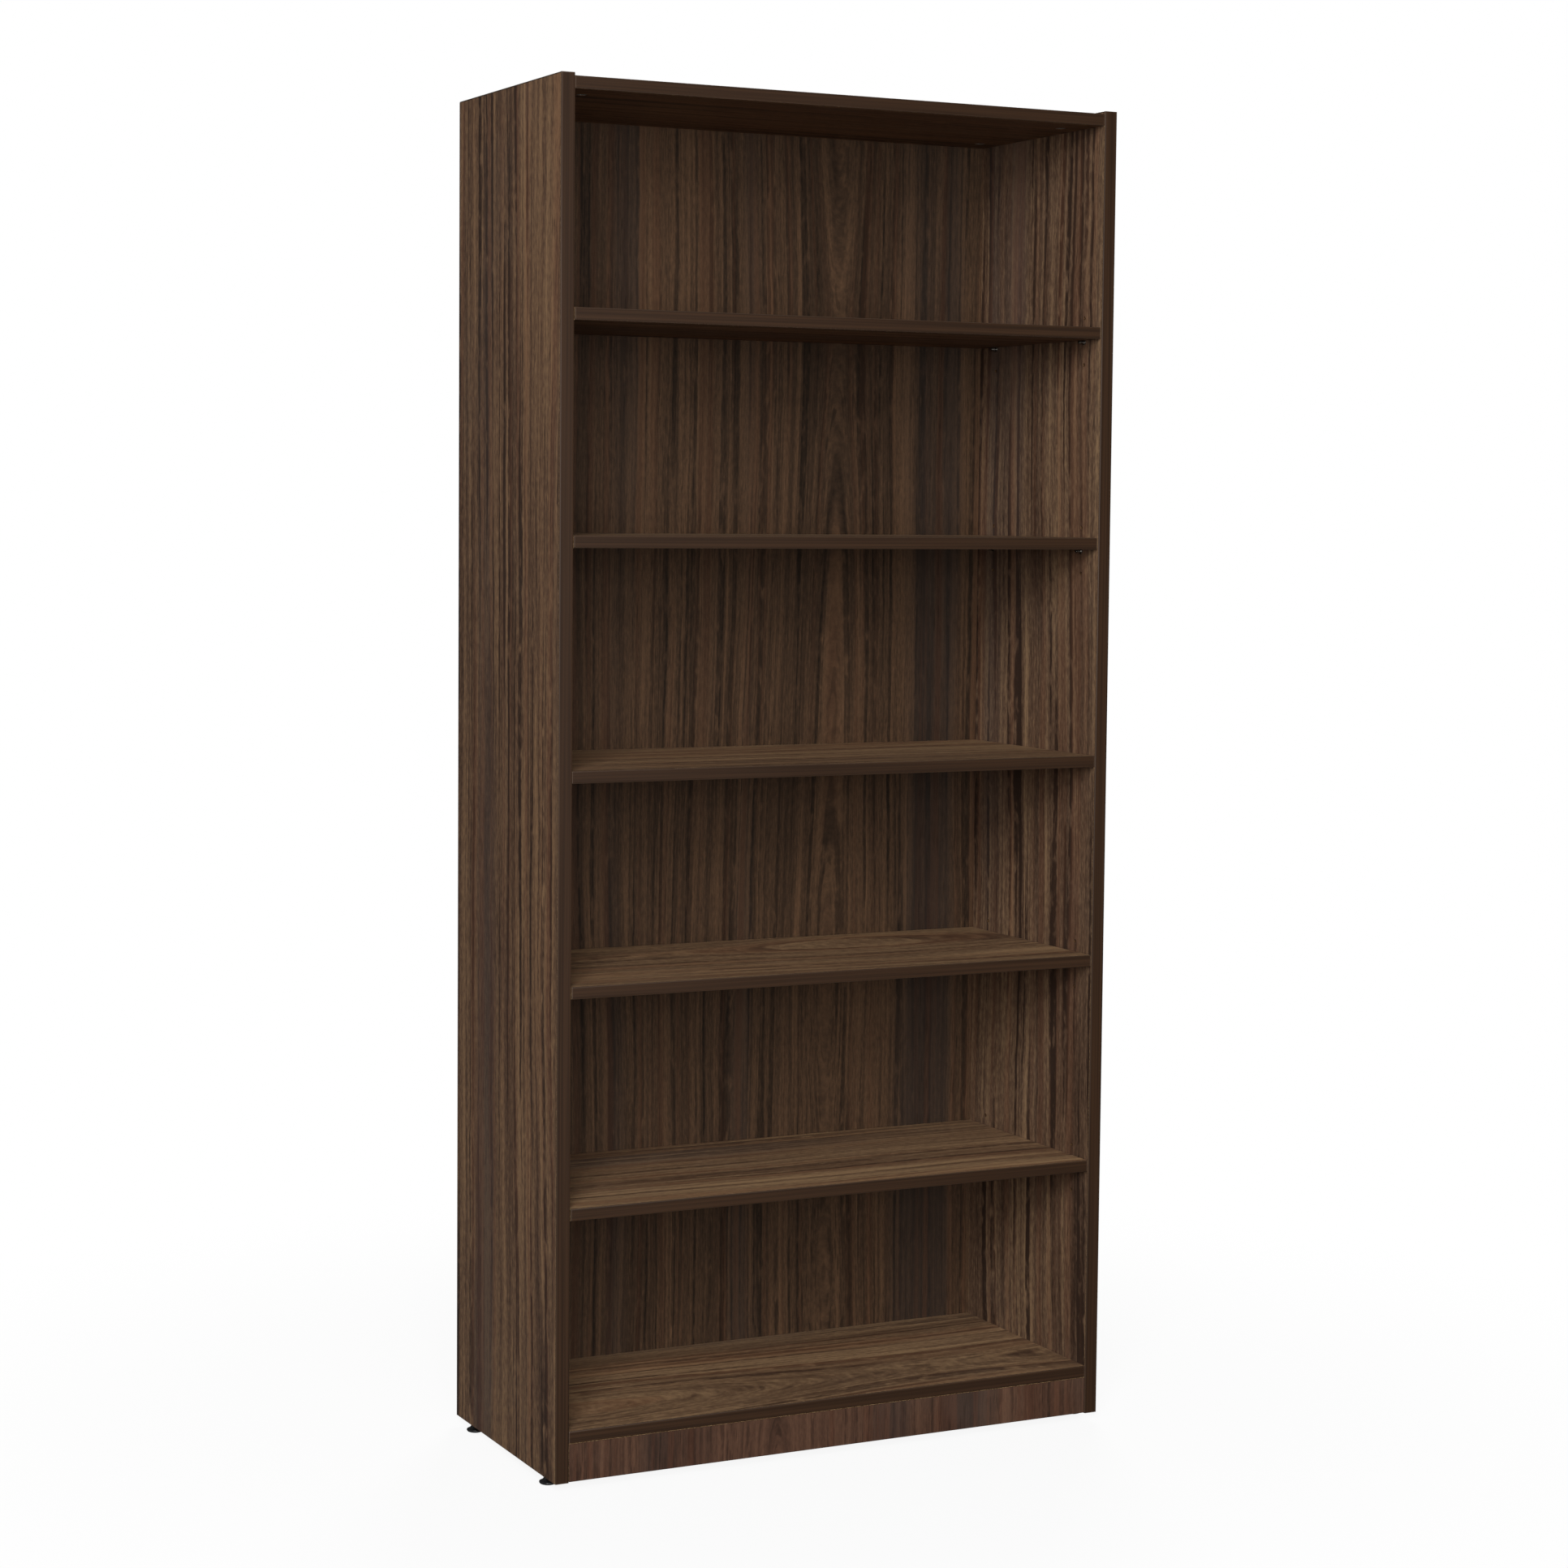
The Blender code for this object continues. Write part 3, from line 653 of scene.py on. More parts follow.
@dataclass(frozen=True)
class Laminate(Finish):
    """Walnut-figured laminate on the two broad faces of a chipboard, and its raw or sealed edges.

    Args:
        grain: the way the board is cut.
        shift: where on the figure this board is cut from, in metres across, along and through.
        palette: its colours.
        fineness: how close together its streaks lie.
        arch: how wide its arches open.
        contrast: how far its streaks part from its body colour.
        roughness: the roughness of its faces.
        specular: how strongly its faces mirror.
        sealed: whether the long rear edge is closed with a brown strip.
        bore: what the chipboard's colour is multiplied by inside a bore: painted shade, standing in for the
            dark inside of a hole.
        underside: what the colour under a level board is multiplied by: painted shade, standing in for the
            shade beneath the board.
        bore_inset: how far in from the board's outer edges a bore or groove lies, at the least.
        arris_width: how wide its arrises are darkened.
    """

    grain: Grain = Grain.LEVEL
    shift: Triple = (0.0, 0.0, 0.0)
    palette: Palette = field(default_factory=Palette)
    fineness: float = 0.6
    arch: float = 0.05
    contrast: float = 0.62
    roughness: float = 0.52
    specular: float = 0.18
    sealed: bool = False
    underside: Colour = (0.46, 0.34, 0.27)
    bore: Colour = (0.20, 0.16, 0.13)
    bore_inset: float = 0.0008
    arris_width: float = 0.0009

    def figure_place(self, b: Bench, place: bpy.types.NodeSocket) -> bpy.types.NodeSocket:
        """Turns a place on the board into a place on the figure it is cut from.

        Args:
            b: the material's bench.
            place: the Object coordinates.

        Returns:
            Across, along and through the board, scaled and shifted.
        """
        parts = b.split(place)
        across, along, through = self.grain.value
        turned = b.gather(parts[across], parts[along], parts[through])
        return b.stretched(turned, (self.fineness, 1.0, 1.0), self.shift)

    def figured(
        self, effects: Effects, b: Bench, place: bpy.types.NodeSocket
    ) -> dict[str, bpy.types.NodeSocket]:
        """Places the walnut figure in this board's colours.

        Args:
            effects: the shared node groups.
            b: the material's bench.
            place: the Object coordinates.

        Returns:
            The group's outputs by name.
        """
        colours = self.palette
        return effects.figure.place(
            b, Vector=self.figure_place(b, place), Dark=colours.dark, Body=colours.body,
            Light=colours.light, Cool=colours.cool, Warm=colours.warm, Arch=self.arch,
            Contrast=self.contrast,
        )

    def face_mask(self, b: Bench) -> bpy.types.NodeSocket:
        """1 on the two broad faces, 0 on edges and in bores."""
        normal = b.split(b.node("TexCoord").outputs["Normal"])[self.grain.value[2]]
        return b.math("GREATER_THAN", b.math("ABSOLUTE", normal), FACING)

    def bored(
        self, b: Bench, place: bpy.types.NodeSocket, low: Vector, high: Vector
    ) -> bpy.types.NodeSocket:
        """Masks bores and grooves, which lie in from the board's outer edges.

        Args:
            b: the material's bench.
            place: the Object coordinates.
            low: the board's lowest corner.
            high: its highest corner.

        Returns:
            1 where the nearer of two outer edges is further off than the inset, else 0.
        """
        parts, middle, half = b.split(place), (low + high) / 2, (high - low) / 2
        inward = []
        for axis in self.grain.value[:2]:
            from_middle = b.math("ABSOLUTE", b.math("SUBTRACT", parts[axis], middle[axis]))
            inward.append(b.math("SUBTRACT", half[axis], from_middle))
        return b.math("GREATER_THAN", b.math("MINIMUM", *inward), self.bore_inset)

    def make(self, effects: Effects, low: Vector, high: Vector) -> bpy.types.Material:
        """Makes the material for the board between two corners.

        Args:
            effects: the shared node groups.
            low: the board's lowest corner.
            high: its highest corner.

        Returns:
            The material.
        """
        made, b, shader, place = self.start()
        figure = self.figured(effects, b, place)
        face = self.face_mask(b)
        middle, half = (low + high) / 2, (high - low) / 2
        arris = effects.arris.place(b, Vector=place, Middle=middle, Half=half, Width=self.arris_width)
        sheen = effects.handling.place(b, Vector=place, Roughness=self.roughness, Spread=0.05)
        raw = effects.chipboard.place(b, Vector=place)
        # Painted shade: the chipboard inside bores and grooves is darkened, as a hole looks dark inside.
        bore_painted_shade = b.mix(1.0, raw["Color"], self.bore, "MULTIPLY")
        edge = b.mix(self.bored(b, place, low, high), raw["Color"], bore_painted_shade)
        if self.sealed:
            at_rear = b.math("GREATER_THAN", b.split(place)[1], high.y - 0.0005)
            streak = b.noise(b.stretched(place, (300.0, 300.0, 4.0)))
            strip = b.mix(streak, srgb(44, 32, 25), srgb(58, 44, 35))
            edge = b.mix(at_rear, edge, strip)
        faced = figure["Color"]
        if self.grain is Grain.LEVEL:
            # Painted shade: faces that look down under a level board are darkened, standing in for the shade
            # beneath it.
            under = b.math("LESS_THAN", b.split(b.node("TexCoord").outputs["Normal"])[2], -FACING)
            faced = b.mix(under, faced, b.mix(1.0, faced, self.underside, "MULTIPLY"))
        worn = b.mix(b.math("MULTIPLY", arris["Mask"], 0.45), faced, srgb(30, 21, 16))
        dusty = b.mix(b.math("MULTIPLY", sheen["Veil"], 0.03), worn, srgb(150, 138, 124))
        b.feed(shader.inputs["Base Color"], b.mix(face, edge, dusty))
        edge_rough = b.math("MULTIPLY_ADD", raw["Height"], 0.1, 0.8)
        rough = b.math("ADD", sheen["Roughness"], b.math("MULTIPLY_ADD", figure["Tone"], -0.08, 0.04))
        b.feed(shader.inputs["Roughness"], b.between(face, edge_rough, rough))
        relief = b.between(face, raw["Height"], b.math("MULTIPLY", figure["Height"], 0.3))
        b.feed(shader.inputs["Normal"], b.bump(relief, 0.00012, 0.5))
        shader.inputs["Specular IOR Level"].default_value = self.specular
        return made


@dataclass(frozen=True)
class EdgeBand(Finish):
    """A dark brown band, satin, with a faint drawn-out streak and a painted highlight along its arrises.

    Args:
        along: the axis that the band runs along.
        tone: its colour.
        roughness: its roughness.
        arris_width: how wide the painted highlight along its arrises is.
    """

    along: int = 0
    tone: Colour = srgb(42, 27, 16)
    roughness: float = 0.46
    arris_width: float = 0.0013

    def make(self, effects: Effects, low: Vector, high: Vector) -> bpy.types.Material:
        """Makes the material for the band between two corners.

        Args:
            effects: the shared node groups.
            low: the band's lowest corner.
            high: its highest corner.

        Returns:
            The material.
        """
        made, b, shader, place = self.start()
        stretch = [420.0, 420.0, 420.0]
        stretch[self.along] = 2.5
        streak = b.noise(b.stretched(place, tuple(stretch)), detail=2.0)
        slow = b.noise(place, 3.0, 1.0)
        arris = effects.arris.place(
            b, Vector=place, Middle=(low + high) / 2, Half=(high - low) / 2, Width=self.arris_width
        )
        sheen = effects.handling.place(b, Vector=place, Roughness=self.roughness, Spread=0.06)
        dark = tuple(part * 0.72 for part in self.tone)
        pale = tuple(part * 1.30 for part in self.tone)
        colour = b.mix(b.step(streak, 0.30, 0.70), dark, pale)
        colour = b.mix(b.math("MULTIPLY", b.step(slow, 0.4, 0.7), 0.25), colour, self.tone)
        # Painted highlight: the arrises are mixed towards pale brown, standing in for the light they catch.
        colour = b.mix(b.math("MULTIPLY", arris["Mask"], 0.42), colour, srgb(104, 88, 76))
        b.feed(shader.inputs["Base Color"], colour)
        rough = b.math("SUBTRACT", sheen["Roughness"], b.math("MULTIPLY", arris["Mask"], 0.08))
        b.feed(shader.inputs["Roughness"], rough)
        peel = b.noise(place, 900.0, 1.0)
        relief = b.math("ADD", b.math("MULTIPLY", peel, 0.5), b.math("MULTIPLY", streak, 0.5))
        b.feed(shader.inputs["Normal"], b.bump(relief, 0.00006, 0.5))
        shader.inputs["Specular IOR Level"].default_value = 0.12
        return made


@dataclass(frozen=True)
class BackSheet(Laminate):
    """The back: laminate on its front face, plain brown hardboard with its fibres on the rest."""

    def make(self, effects: Effects, low: Vector, high: Vector) -> bpy.types.Material:
        """Makes the material for the back between two corners.

        Args:
            effects: the shared node groups.
            low: the back's lowest corner.
            high: its highest corner.

        Returns:
            The material.
        """
        made, b, shader, place = self.start()
        figure = self.figured(effects, b, place)
        toward_front = b.split(b.node("TexCoord").outputs["Normal"])[1]
        face = b.math("LESS_THAN", toward_front, -FACING)
        sheen = effects.handling.place(b, Vector=place, Roughness=self.roughness, Spread=0.05)
        cloud = b.noise(place, 9.0, 4.0, 0.6)
        fibre = b.noise(b.stretched(place, (900.0, 900.0, 240.0)), detail=3.0, roughness=0.7)
        bundles = b.noise(b.stretched(place, (420.0, 420.0, 900.0), (3.0, 1.0, 0.0)), detail=1.0)
        fleck = b.step(bundles, 0.62, 0.72)
        board = b.ramp(b.math("ADD", b.math("MULTIPLY", cloud, 0.5), b.math("MULTIPLY", fibre, 0.5)), (
            (0.25, srgb(84, 58, 40)), (0.5, srgb(112, 80, 56)), (0.75, srgb(138, 104, 76)),
        ))
        board = b.mix(b.math("MULTIPLY", fleck, 0.5), board, srgb(66, 44, 30))
        b.feed(shader.inputs["Base Color"], b.mix(face, board, figure["Color"]))
        rough = b.between(face, b.math("MULTIPLY_ADD", fibre, 0.3, 0.55), sheen["Roughness"])
        b.feed(shader.inputs["Roughness"], rough)
        relief = b.between(face, fibre, b.math("MULTIPLY", figure["Height"], 0.3))
        b.feed(shader.inputs["Normal"], b.bump(relief, 0.00015, 0.5))
        shader.inputs["Specular IOR Level"].default_value = self.specular
        return made


@dataclass(frozen=True)
class Metal(Finish):
    """A plated or cast metal: a mottled tone, with pits or brushing in its relief.

    Args:
        tone: the colour of the metal.
        dull: the colour of its dull patches.
        roughness: its roughness, before patches and handling.
        grit: how closely its pits or marks lie.
        relief: how deep they are, in metres.
        brush: how much finer the marks are along each axis.
    """

    tone: Colour = srgb(196, 198, 200)
    dull: Colour = srgb(150, 152, 150)
    roughness: float = 0.30
    grit: float = 1800.0
    relief: float = 0.00002
    brush: Triple = (1.0, 1.0, 1.0)

    def make(self, effects: Effects) -> bpy.types.Material:
        """Makes the material.

        Args:
            effects: the shared node groups.

        Returns:
            The material.
        """
        made, b, shader, place = self.start()
        sheen = effects.handling.place(b, Vector=place, Roughness=self.roughness, Spread=0.08)
        grit = b.noise(b.stretched(place, self.brush), self.grit, 2.0)
        patch = b.noise(place, 260.0, 3.0, 0.6)
        colour = b.mix(b.step(patch, 0.35, 0.65), self.dull, self.tone)
        colour = b.mix(b.math("MULTIPLY", b.step(grit, 0.55, 0.75), 0.35), colour, self.dull)
        b.feed(shader.inputs["Base Color"], colour)
        rough = b.math("ADD", sheen["Roughness"], b.math("MULTIPLY_ADD", patch, 0.24, -0.12))
        b.feed(shader.inputs["Roughness"], rough)
        b.feed(shader.inputs["Normal"], b.bump(grit, self.relief, 0.6))
        shader.inputs["Metallic"].default_value = 1.0
        return made


@dataclass(frozen=True)
class CamMetal(Metal):
    """A cast cam and, further out in the case, the plated bolt that it grips.

    Args:
        cast: the colour of the cam.
        bolt_start: how far from the case's middle the bolts begin.
    """

    cast: Colour = srgb(150, 151, 150)
    bolt_start: float = 0.3615

    def make(self, effects: Effects) -> bpy.types.Material:
        """Makes the material.

        Args:
            effects: the shared node groups.

        Returns:
            The material.
        """
        made = super().make(effects)
        b = Bench(made.node_tree)
        shader = made.node_tree.nodes["Principled BSDF"]
        place = b.node("TexCoord").outputs["Object"]
        bolt = b.math("GREATER_THAN", b.math("ABSOLUTE", b.split(place)[0]), self.bolt_start)
        cast = b.mix(b.noise(place, 900.0, 3.0), tuple(part * 0.7 for part in self.cast), self.cast)
        plated = shader.inputs["Base Color"].links[0].from_socket
        b.feed(shader.inputs["Base Color"], b.mix(bolt, cast, plated))
        return made


@dataclass(frozen=True)
class Plastic(Finish):
    """Moulded plastic: nearly one colour, with a fine moulded grain and scuffs on its rims.

    Args:
        tone: its colour.
        scuff: the colour of its scuffs.
        roughness: its roughness.
    """

    tone: Colour = srgb(20, 20, 21)
    scuff: Colour = srgb(64, 63, 62)
    roughness: float = 0.33

    def make(self, effects: Effects) -> bpy.types.Material:
        """Makes the material.

        Args:
            effects: the shared node groups.

        Returns:
            The material.
        """
        made, b, shader, place = self.start()
        sheen = effects.handling.place(b, Vector=place, Roughness=self.roughness, Spread=0.10)
        grain = b.noise(place, 2600.0, 2.0)
        scratch = b.noise(b.stretched(place, (300.0, 900.0, 2200.0)), detail=2.0)
        low_down = b.step(b.split(place)[2], 0.0045, 0.0005)
        share = b.math("MULTIPLY_ADD", low_down, 0.5, 0.12)
        marks = b.math("MULTIPLY", b.step(scratch, 0.56, 0.68), share)
        b.feed(shader.inputs["Base Color"], b.mix(marks, self.tone, self.scuff))
        b.feed(shader.inputs["Roughness"], b.math("MULTIPLY_ADD", marks, 0.3, sheen["Roughness"]))
        b.feed(shader.inputs["Normal"], b.bump(grain, 0.00003, 0.4))
        return made


@dataclass(frozen=True)
class Beech(Finish):
    """Beech of the dowels: pale, with short dark rays along the dowel.

    Args:
        tone: its pale wood.
        ray: its rays.
    """

    tone: Colour = srgb(206, 172, 132)
    ray: Colour = srgb(160, 118, 80)

    def make(self, effects: Effects) -> bpy.types.Material:
        """Makes the material.

        Args:
            effects: the shared node groups.

        Returns:
            The material.
        """
        made, b, shader, place = self.start()
        sheen = effects.handling.place(b, Vector=place, Roughness=0.62, Spread=0.08)
        ray = b.noise(b.stretched(place, (260.0, 2400.0, 2400.0)), detail=2.0)
        drift = b.noise(b.stretched(place, (30.0, 400.0, 400.0)), detail=2.0)
        colour = b.mix(b.step(drift, 0.3, 0.7), self.ray, self.tone)
        colour = b.mix(b.math("MULTIPLY", b.step(ray, 0.56, 0.66), 0.7), colour, self.ray)
        b.feed(shader.inputs["Base Color"], colour)
        b.feed(shader.inputs["Roughness"], sheen["Roughness"])
        b.feed(shader.inputs["Normal"], b.bump(ray, 0.00004, 0.5))
        return made


# ---------------------------------------------------------------- surfaces


def ring_faces(rows: int, columns: int) -> np.ndarray:
    """Quads between neighbouring rows of a grid whose columns close into a ring.

    Args:
        rows: how many rows.
        columns: how many points in each row.

    Returns:
        An array of (count, 4) point numbers.
    """
    row, column = np.meshgrid(np.arange(rows - 1), np.arange(columns), indexing="ij")
    after = (column + 1) % columns
    faces = np.stack((row * columns + column, row * columns + after,
                      (row + 1) * columns + after, (row + 1) * columns + column), axis=-1)
    return faces.reshape(-1, 4)


def surface(
    name: str, grid: np.ndarray, material: bpy.types.Material, place: Matrix | None = None,
    capped: bool = True, sharp: float = 35.0,
) -> bpy.types.Object:
    """A closed piece from a grid of points whose columns run round it.

    Args:
        name: the piece's name.
        grid: points of shape (rows, columns, 3); columns turn anticlockwise as rows advance.
        material: the piece's finish.
        place: where the piece goes; its points are moved there, and the object stays unmoved.
        capped: True to close the first and the last row each with one point in their middle,
            False to join the last row to the first.
        sharp: edges that bend more than this many degrees stay sharp.

    Returns:
        The new object.
    """
    rows, columns = grid.shape[:2]
    points = grid.reshape(-1, 3)
    if capped:
        faces = ring_faces(rows, columns).tolist()
        ring = np.arange(columns)
        after = (ring + 1) % columns
        first = np.stack((np.full(columns, rows * columns), after, ring), axis=-1)
        top = (rows - 1) * columns
        last = np.stack((np.full(columns, rows * columns + 1), top + ring, top + after), axis=-1)
        points = np.concatenate((points, grid[0].mean(0)[None], grid[-1].mean(0)[None]))
        faces += first.tolist() + last.tolist()
    else:
        looped = ring_faces(rows + 1, columns)
        faces = (looped % (rows * columns)).tolist()
    if place is not None:
        move = np.array(place)
        points = points @ move[:3, :3].T + move[:3, 3]
    mesh = bpy.data.meshes.new(name)
    mesh.from_pydata(points.tolist(), [], faces)
    mesh.materials.append(material)
    mesh.shade_smooth()
    mesh.set_sharp_from_angle(angle=radians(sharp))
    made = bpy.data.objects.new(name, mesh)
    bpy.context.scene.collection.objects.link(made)
    return made


def turn(profile: np.ndarray, steps: int) -> np.ndarray:
    """A profile of (radius, height) turned about Z: X is radius times cosine, Y radius times sine.

    Args:
        profile: the points, from the lowest up along the outside.
        steps: how many points round.

    Returns:
        A grid of shape (profile points, steps, 3).
    """
    angle = np.linspace(0, tau, steps, endpoint=False)
    radius, height = profile[:, :1], profile[:, 1:]
    return np.stack((radius * np.cos(angle), radius * np.sin(angle),
                     np.broadcast_to(height, (len(profile), steps))), axis=-1)


def soften(corners: np.ndarray, radius: float, steps: int = 5) -> np.ndarray:
    """An open profile with each inner corner rounded off.

    Each corner becomes a curve between the points that lie radius before and after it, or a third
    of the way along a shorter side: one minus t squared times the first, plus twice t times one
    minus t times the corner, plus t squared times the second.

    Args:
        corners: points of shape (count, 2).
        radius: how far from its corner each rounding starts.
        steps: points on each rounding.

    Returns:
        The finer profile.
    """
    before, corner, after = corners[:-2], corners[1:-1], corners[2:]
    to_before, to_after = before - corner, after - corner
    long_before = np.linalg.norm(to_before, axis=1, keepdims=True)
    long_after = np.linalg.norm(to_after, axis=1, keepdims=True)
    start = corner + to_before * np.minimum(radius / long_before, 1 / 3)
    end = corner + to_after * np.minimum(radius / long_after, 1 / 3)
    t = np.linspace(0, 1, steps)[None, :, None]
    curve = (1 - t) ** 2 * start[:, None] + 2 * t * (1 - t) * corner[:, None] + t**2 * end[:, None]
    return np.concatenate((corners[:1], curve.reshape(-1, 2), corners[-1:]))


def aim(origin: Vector, direction: Vector) -> Matrix:
    """A place at origin whose +Z points along direction."""
    return Matrix.Translation(origin) @ direction.to_track_quat("Z", "Y").to_matrix().to_4x4()


def dress(node: str, material: bpy.types.Material) -> None:
    """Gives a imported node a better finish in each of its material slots."""
    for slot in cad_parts[node].material_slots:
        slot.material = material


# ---------------------------------------------------------------- boards


@dataclass
class Carcass:
    """The fixed boards: both sides, the top, the fixed and bottom shelves, and the kick plate.

    Args:
        effects: the shared node groups.
        side_shifts: where on the figure each side is cut from.
        side_palettes: the colours of each side; the right one's are paler, painted light for the stronger
            light on its inner face.
        level_shifts: where the level boards are cut from.
        kick_shift: where the kick plate is cut from.
    """

    effects: Effects
    side_shifts: tuple[Triple, Triple] = ((0.31, 2.2, 0.0), (-0.27, 5.9, 0.4))
    side_palettes: tuple[Palette, Palette] = (Palette(), RIGHT_SIDE_PAINTED_LIGHT_PALETTE)
    level_shifts: tuple[Triple, ...] = ((0.20, 3.0, 0.7), (-0.11, 8.1, 1.3), (0.06, 12.4, 1.9))
    kick_shift: Triple = (0.07, 17.0, 0.2)

    def dress_sides(self) -> None:
        """Cuts both sides from upright figure, their rear edges closed with a brown strip."""
        for side, shift, palette in zip(SIDES, self.side_shifts, self.side_palettes):
            node = f"side_panel_{side}"
            finish = Laminate(
                f"walnut_{node}", Grain.SIDE, shift, palette=palette, fineness=0.5, arch=0.03,
                contrast=0.80, sealed=True,
            )
            dress(node, finish.make(self.effects, *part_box(node)))

    def dress_level_boards(self) -> None:
        """Cuts the level boards along the case."""
        for node, shift in zip(LEVEL_BOARDS, self.level_shifts):
            finish = Laminate(f"walnut_{node}", Grain.LEVEL, shift, palette=SHELF_PALETTE)
            dress(node, finish.make(self.effects, *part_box(node)))

    def dress_kick_plate(self) -> None:
        """Cuts the kick plate from redder upright figure."""
        finish = Laminate(
            "walnut_kick_plate", Grain.UPRIGHT, self.kick_shift, palette=KICK_PALETTE, fineness=0.8,
            contrast=0.44, specular=0.08,
        )
        dress("kick_plate", finish.make(self.effects, *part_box("kick_plate")))

    def make(self) -> None:
        """Dresses every fixed board."""
        self.dress_sides()
        self.dress_level_boards()
        self.dress_kick_plate()
        log.info("carcass: %d boards dressed", len(SIDES) + len(LEVEL_BOARDS) + 1)


@dataclass
class Back:
    """The thin back in its grooves.

    Args:
        effects: the shared node groups.
        shift: where on the figure it is cut from.
    """

    effects: Effects
    shift: Triple = (-0.13, 30.0, 0.9)

    def make(self) -> None:
        """Dresses the back: upright figure in front, brown hardboard behind."""
        finish = BackSheet(
            "walnut_back", Grain.UPRIGHT, self.shift, palette=BACK_PALETTE, fineness=0.85, arch=0.034,
            contrast=0.54, roughness=0.62, specular=0.07,
        )
        dress("back_panel", finish.make(self.effects, *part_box("back_panel")))
        log.info("back: dressed")


@dataclass
class LooseShelves:
    """The four adjustable shelves.

    Args:
        effects: the shared node groups.
        spacing: how far apart along the figure they are cut.
        start: how far along it the cutting starts.
    """

    effects: Effects
    spacing: float = 3.7
    start: float = 40.0

    def make(self) -> None:
        """Cuts each shelf from its own stretch of figure."""
        for number in LOOSE_SHELVES:
            node = f"adjustable_shelf_{number}"
            across = 0.09 * (-1) ** number + 0.02 * number
            shift = (across, self.start + self.spacing * number, 0.3 * number)
            finish = Laminate(f"walnut_{node}", Grain.LEVEL, shift, palette=SHELF_PALETTE)
            dress(node, finish.make(self.effects, *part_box(node)))
        log.info("loose shelves: %d dressed", len(LOOSE_SHELVES))


@dataclass
class Bands:
    """The edge bands: thin strips with both arrises of their outward face rounded.

    Args:
        effects: the shared node groups.
        arris: the radius of the fronts' arrises, in metres.
        top_arris: that of the strips on top of the sides.
        front: how thick the fronts are.
        top: how thick the strips on top of the sides are.
        ease: how far a strip's ends are eased.
        steps: points on each arris.
    """

    effects: Effects
    arris: float = 0.0018
    top_arris: float = 0.0008
    front: float = 0.002
    top: float = 0.001
    ease: float = 0.0002
    steps: int = 10

    def outline(self, width: float, thickness: float, arris: float) -> np.ndarray:
        """A strip's cross-section: a rectangle with two quarter-round corners.

        The arcs are arris times the cosine and sine of an angle, about centres that lie arris in
        from both faces, and each has a point close beyond it, so that the flats stay flat.

        Args:
            width: across the strip, on its first axis.
            thickness: out from the board, on its second axis.
            arris: the radius of the arcs.

        Returns:
            Points of shape (count, 2), anticlockwise.
        """
        angle = np.linspace(0, pi / 2, self.steps)
        arc = arris * np.stack((np.cos(angle), np.sin(angle)), axis=-1)
        centre = np.array((width / 2 - arris, thickness - arris))
        near = arc + centre
        far = near[::-1] * (-1, 1)
        hold = arris * 0.04
        low = np.array(((width / 2 - hold, 0), (width / 2, hold)))
        flat = np.array((centre[0] - hold, thickness))
        return np.concatenate((low, near, flat[None], (flat * (-1, 1))[None], far, (low * (-1, 1))[::-1]))

    def strip(
        self, name: str, low: Vector, high: Vector, axes: tuple[int, int, int], outward: int,
        arris: float, material: bpy.types.Material,
    ) -> bpy.types.Object:
        """A strip between two corners: its cross-section carried along a straight path.

        Args:
            name: the piece's name.
            low: the strip's lowest corner.
            high: its highest corner.
            axes: the axes across the strip, out from the board, and along the strip.
            outward: -1 or 1, the direction of the outward face on its axis.
            arris: the radius of its arrises.
            material: its finish.

        Returns:
            The new object.
        """
        across, out, along = axes
        size = high - low
        section = self.outline(size[across], size[out], arris)
        start = low[out] if outward > 0 else high[out]
        ease = self.ease
        stations = np.array((0, ease, size[along] - ease, size[along])) + low[along]
        shrink = np.array((1 - 2 * ease / size[across], 1.0, 1.0, 1 - 2 * ease / size[across]))
        grid = np.zeros((len(stations), len(section), 3))
        grid[..., across] = (low[across] + high[across]) / 2 + section[:, 0] * shrink[:, None]
        lift = np.array((ease, 0, 0, ease))[:, None]
        depth = np.minimum(section[:, 1], size[out] - lift)
        grid[..., out] = start + outward * depth
        grid[..., along] = stations[:, None]
        handed = np.linalg.det(np.eye(3)[[across, out, along]]) * outward
        return surface(name, grid if handed > 0 else grid[:, ::-1], material)

    def front_band(self, board: str, body: str) -> None:
        """Makes the band on the front of a level board.

        Args:
            board: the board's name.
            body: the body that it rides on.
        """
        node = f"{board}_band"
        low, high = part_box(node)
        material = EdgeBand(f"band_{board}", along=0).make(self.effects, low, high)
        made = self.strip(f"front_band_{board}", low, high, (2, 1, 0), -1, self.arris, material)
        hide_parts(node)
        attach(made, body)

    def side_bands(self, side: str) -> None:
        """Makes the band up the front of a side panel, and the thin one along its top.

        Args:
            side: left or right.
        """
        node = f"side_band_{side}"
        low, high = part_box(node)
        behind = Vector((high.x, low.y + self.front, high.z))
        material = EdgeBand(f"band_side_{side}", along=2).make(self.effects, low, behind)
        front = self.strip(f"front_band_side_{side}", low, behind, (0, 1, 2), -1, self.arris, material)
        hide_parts(node)
        corner = Vector((low.x, low.y + self.front, high.z - self.top))
        material = EdgeBand(f"band_top_{side}", along=1).make(self.effects, corner, high)
        top = self.strip(f"top_band_side_{side}", corner, high, (0, 2, 1), 1, self.top_arris, material)
        for made in (front, top):
            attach(made, ROOT)

    def make(self) -> None:
        """Makes every band."""
        for side in SIDES:
            self.side_bands(side)
        for board in LEVEL_BOARDS:
            self.front_band(board, ROOT)
        for number in LOOSE_SHELVES:
            self.front_band(f"adjustable_shelf_{number}", f"adjustable_shelf_{number}")
        log.info("bands: %d strips", 2 * len(SIDES) + len(LEVEL_BOARDS) + len(LOOSE_SHELVES))


# ---------------------------------------------------------------- fittings


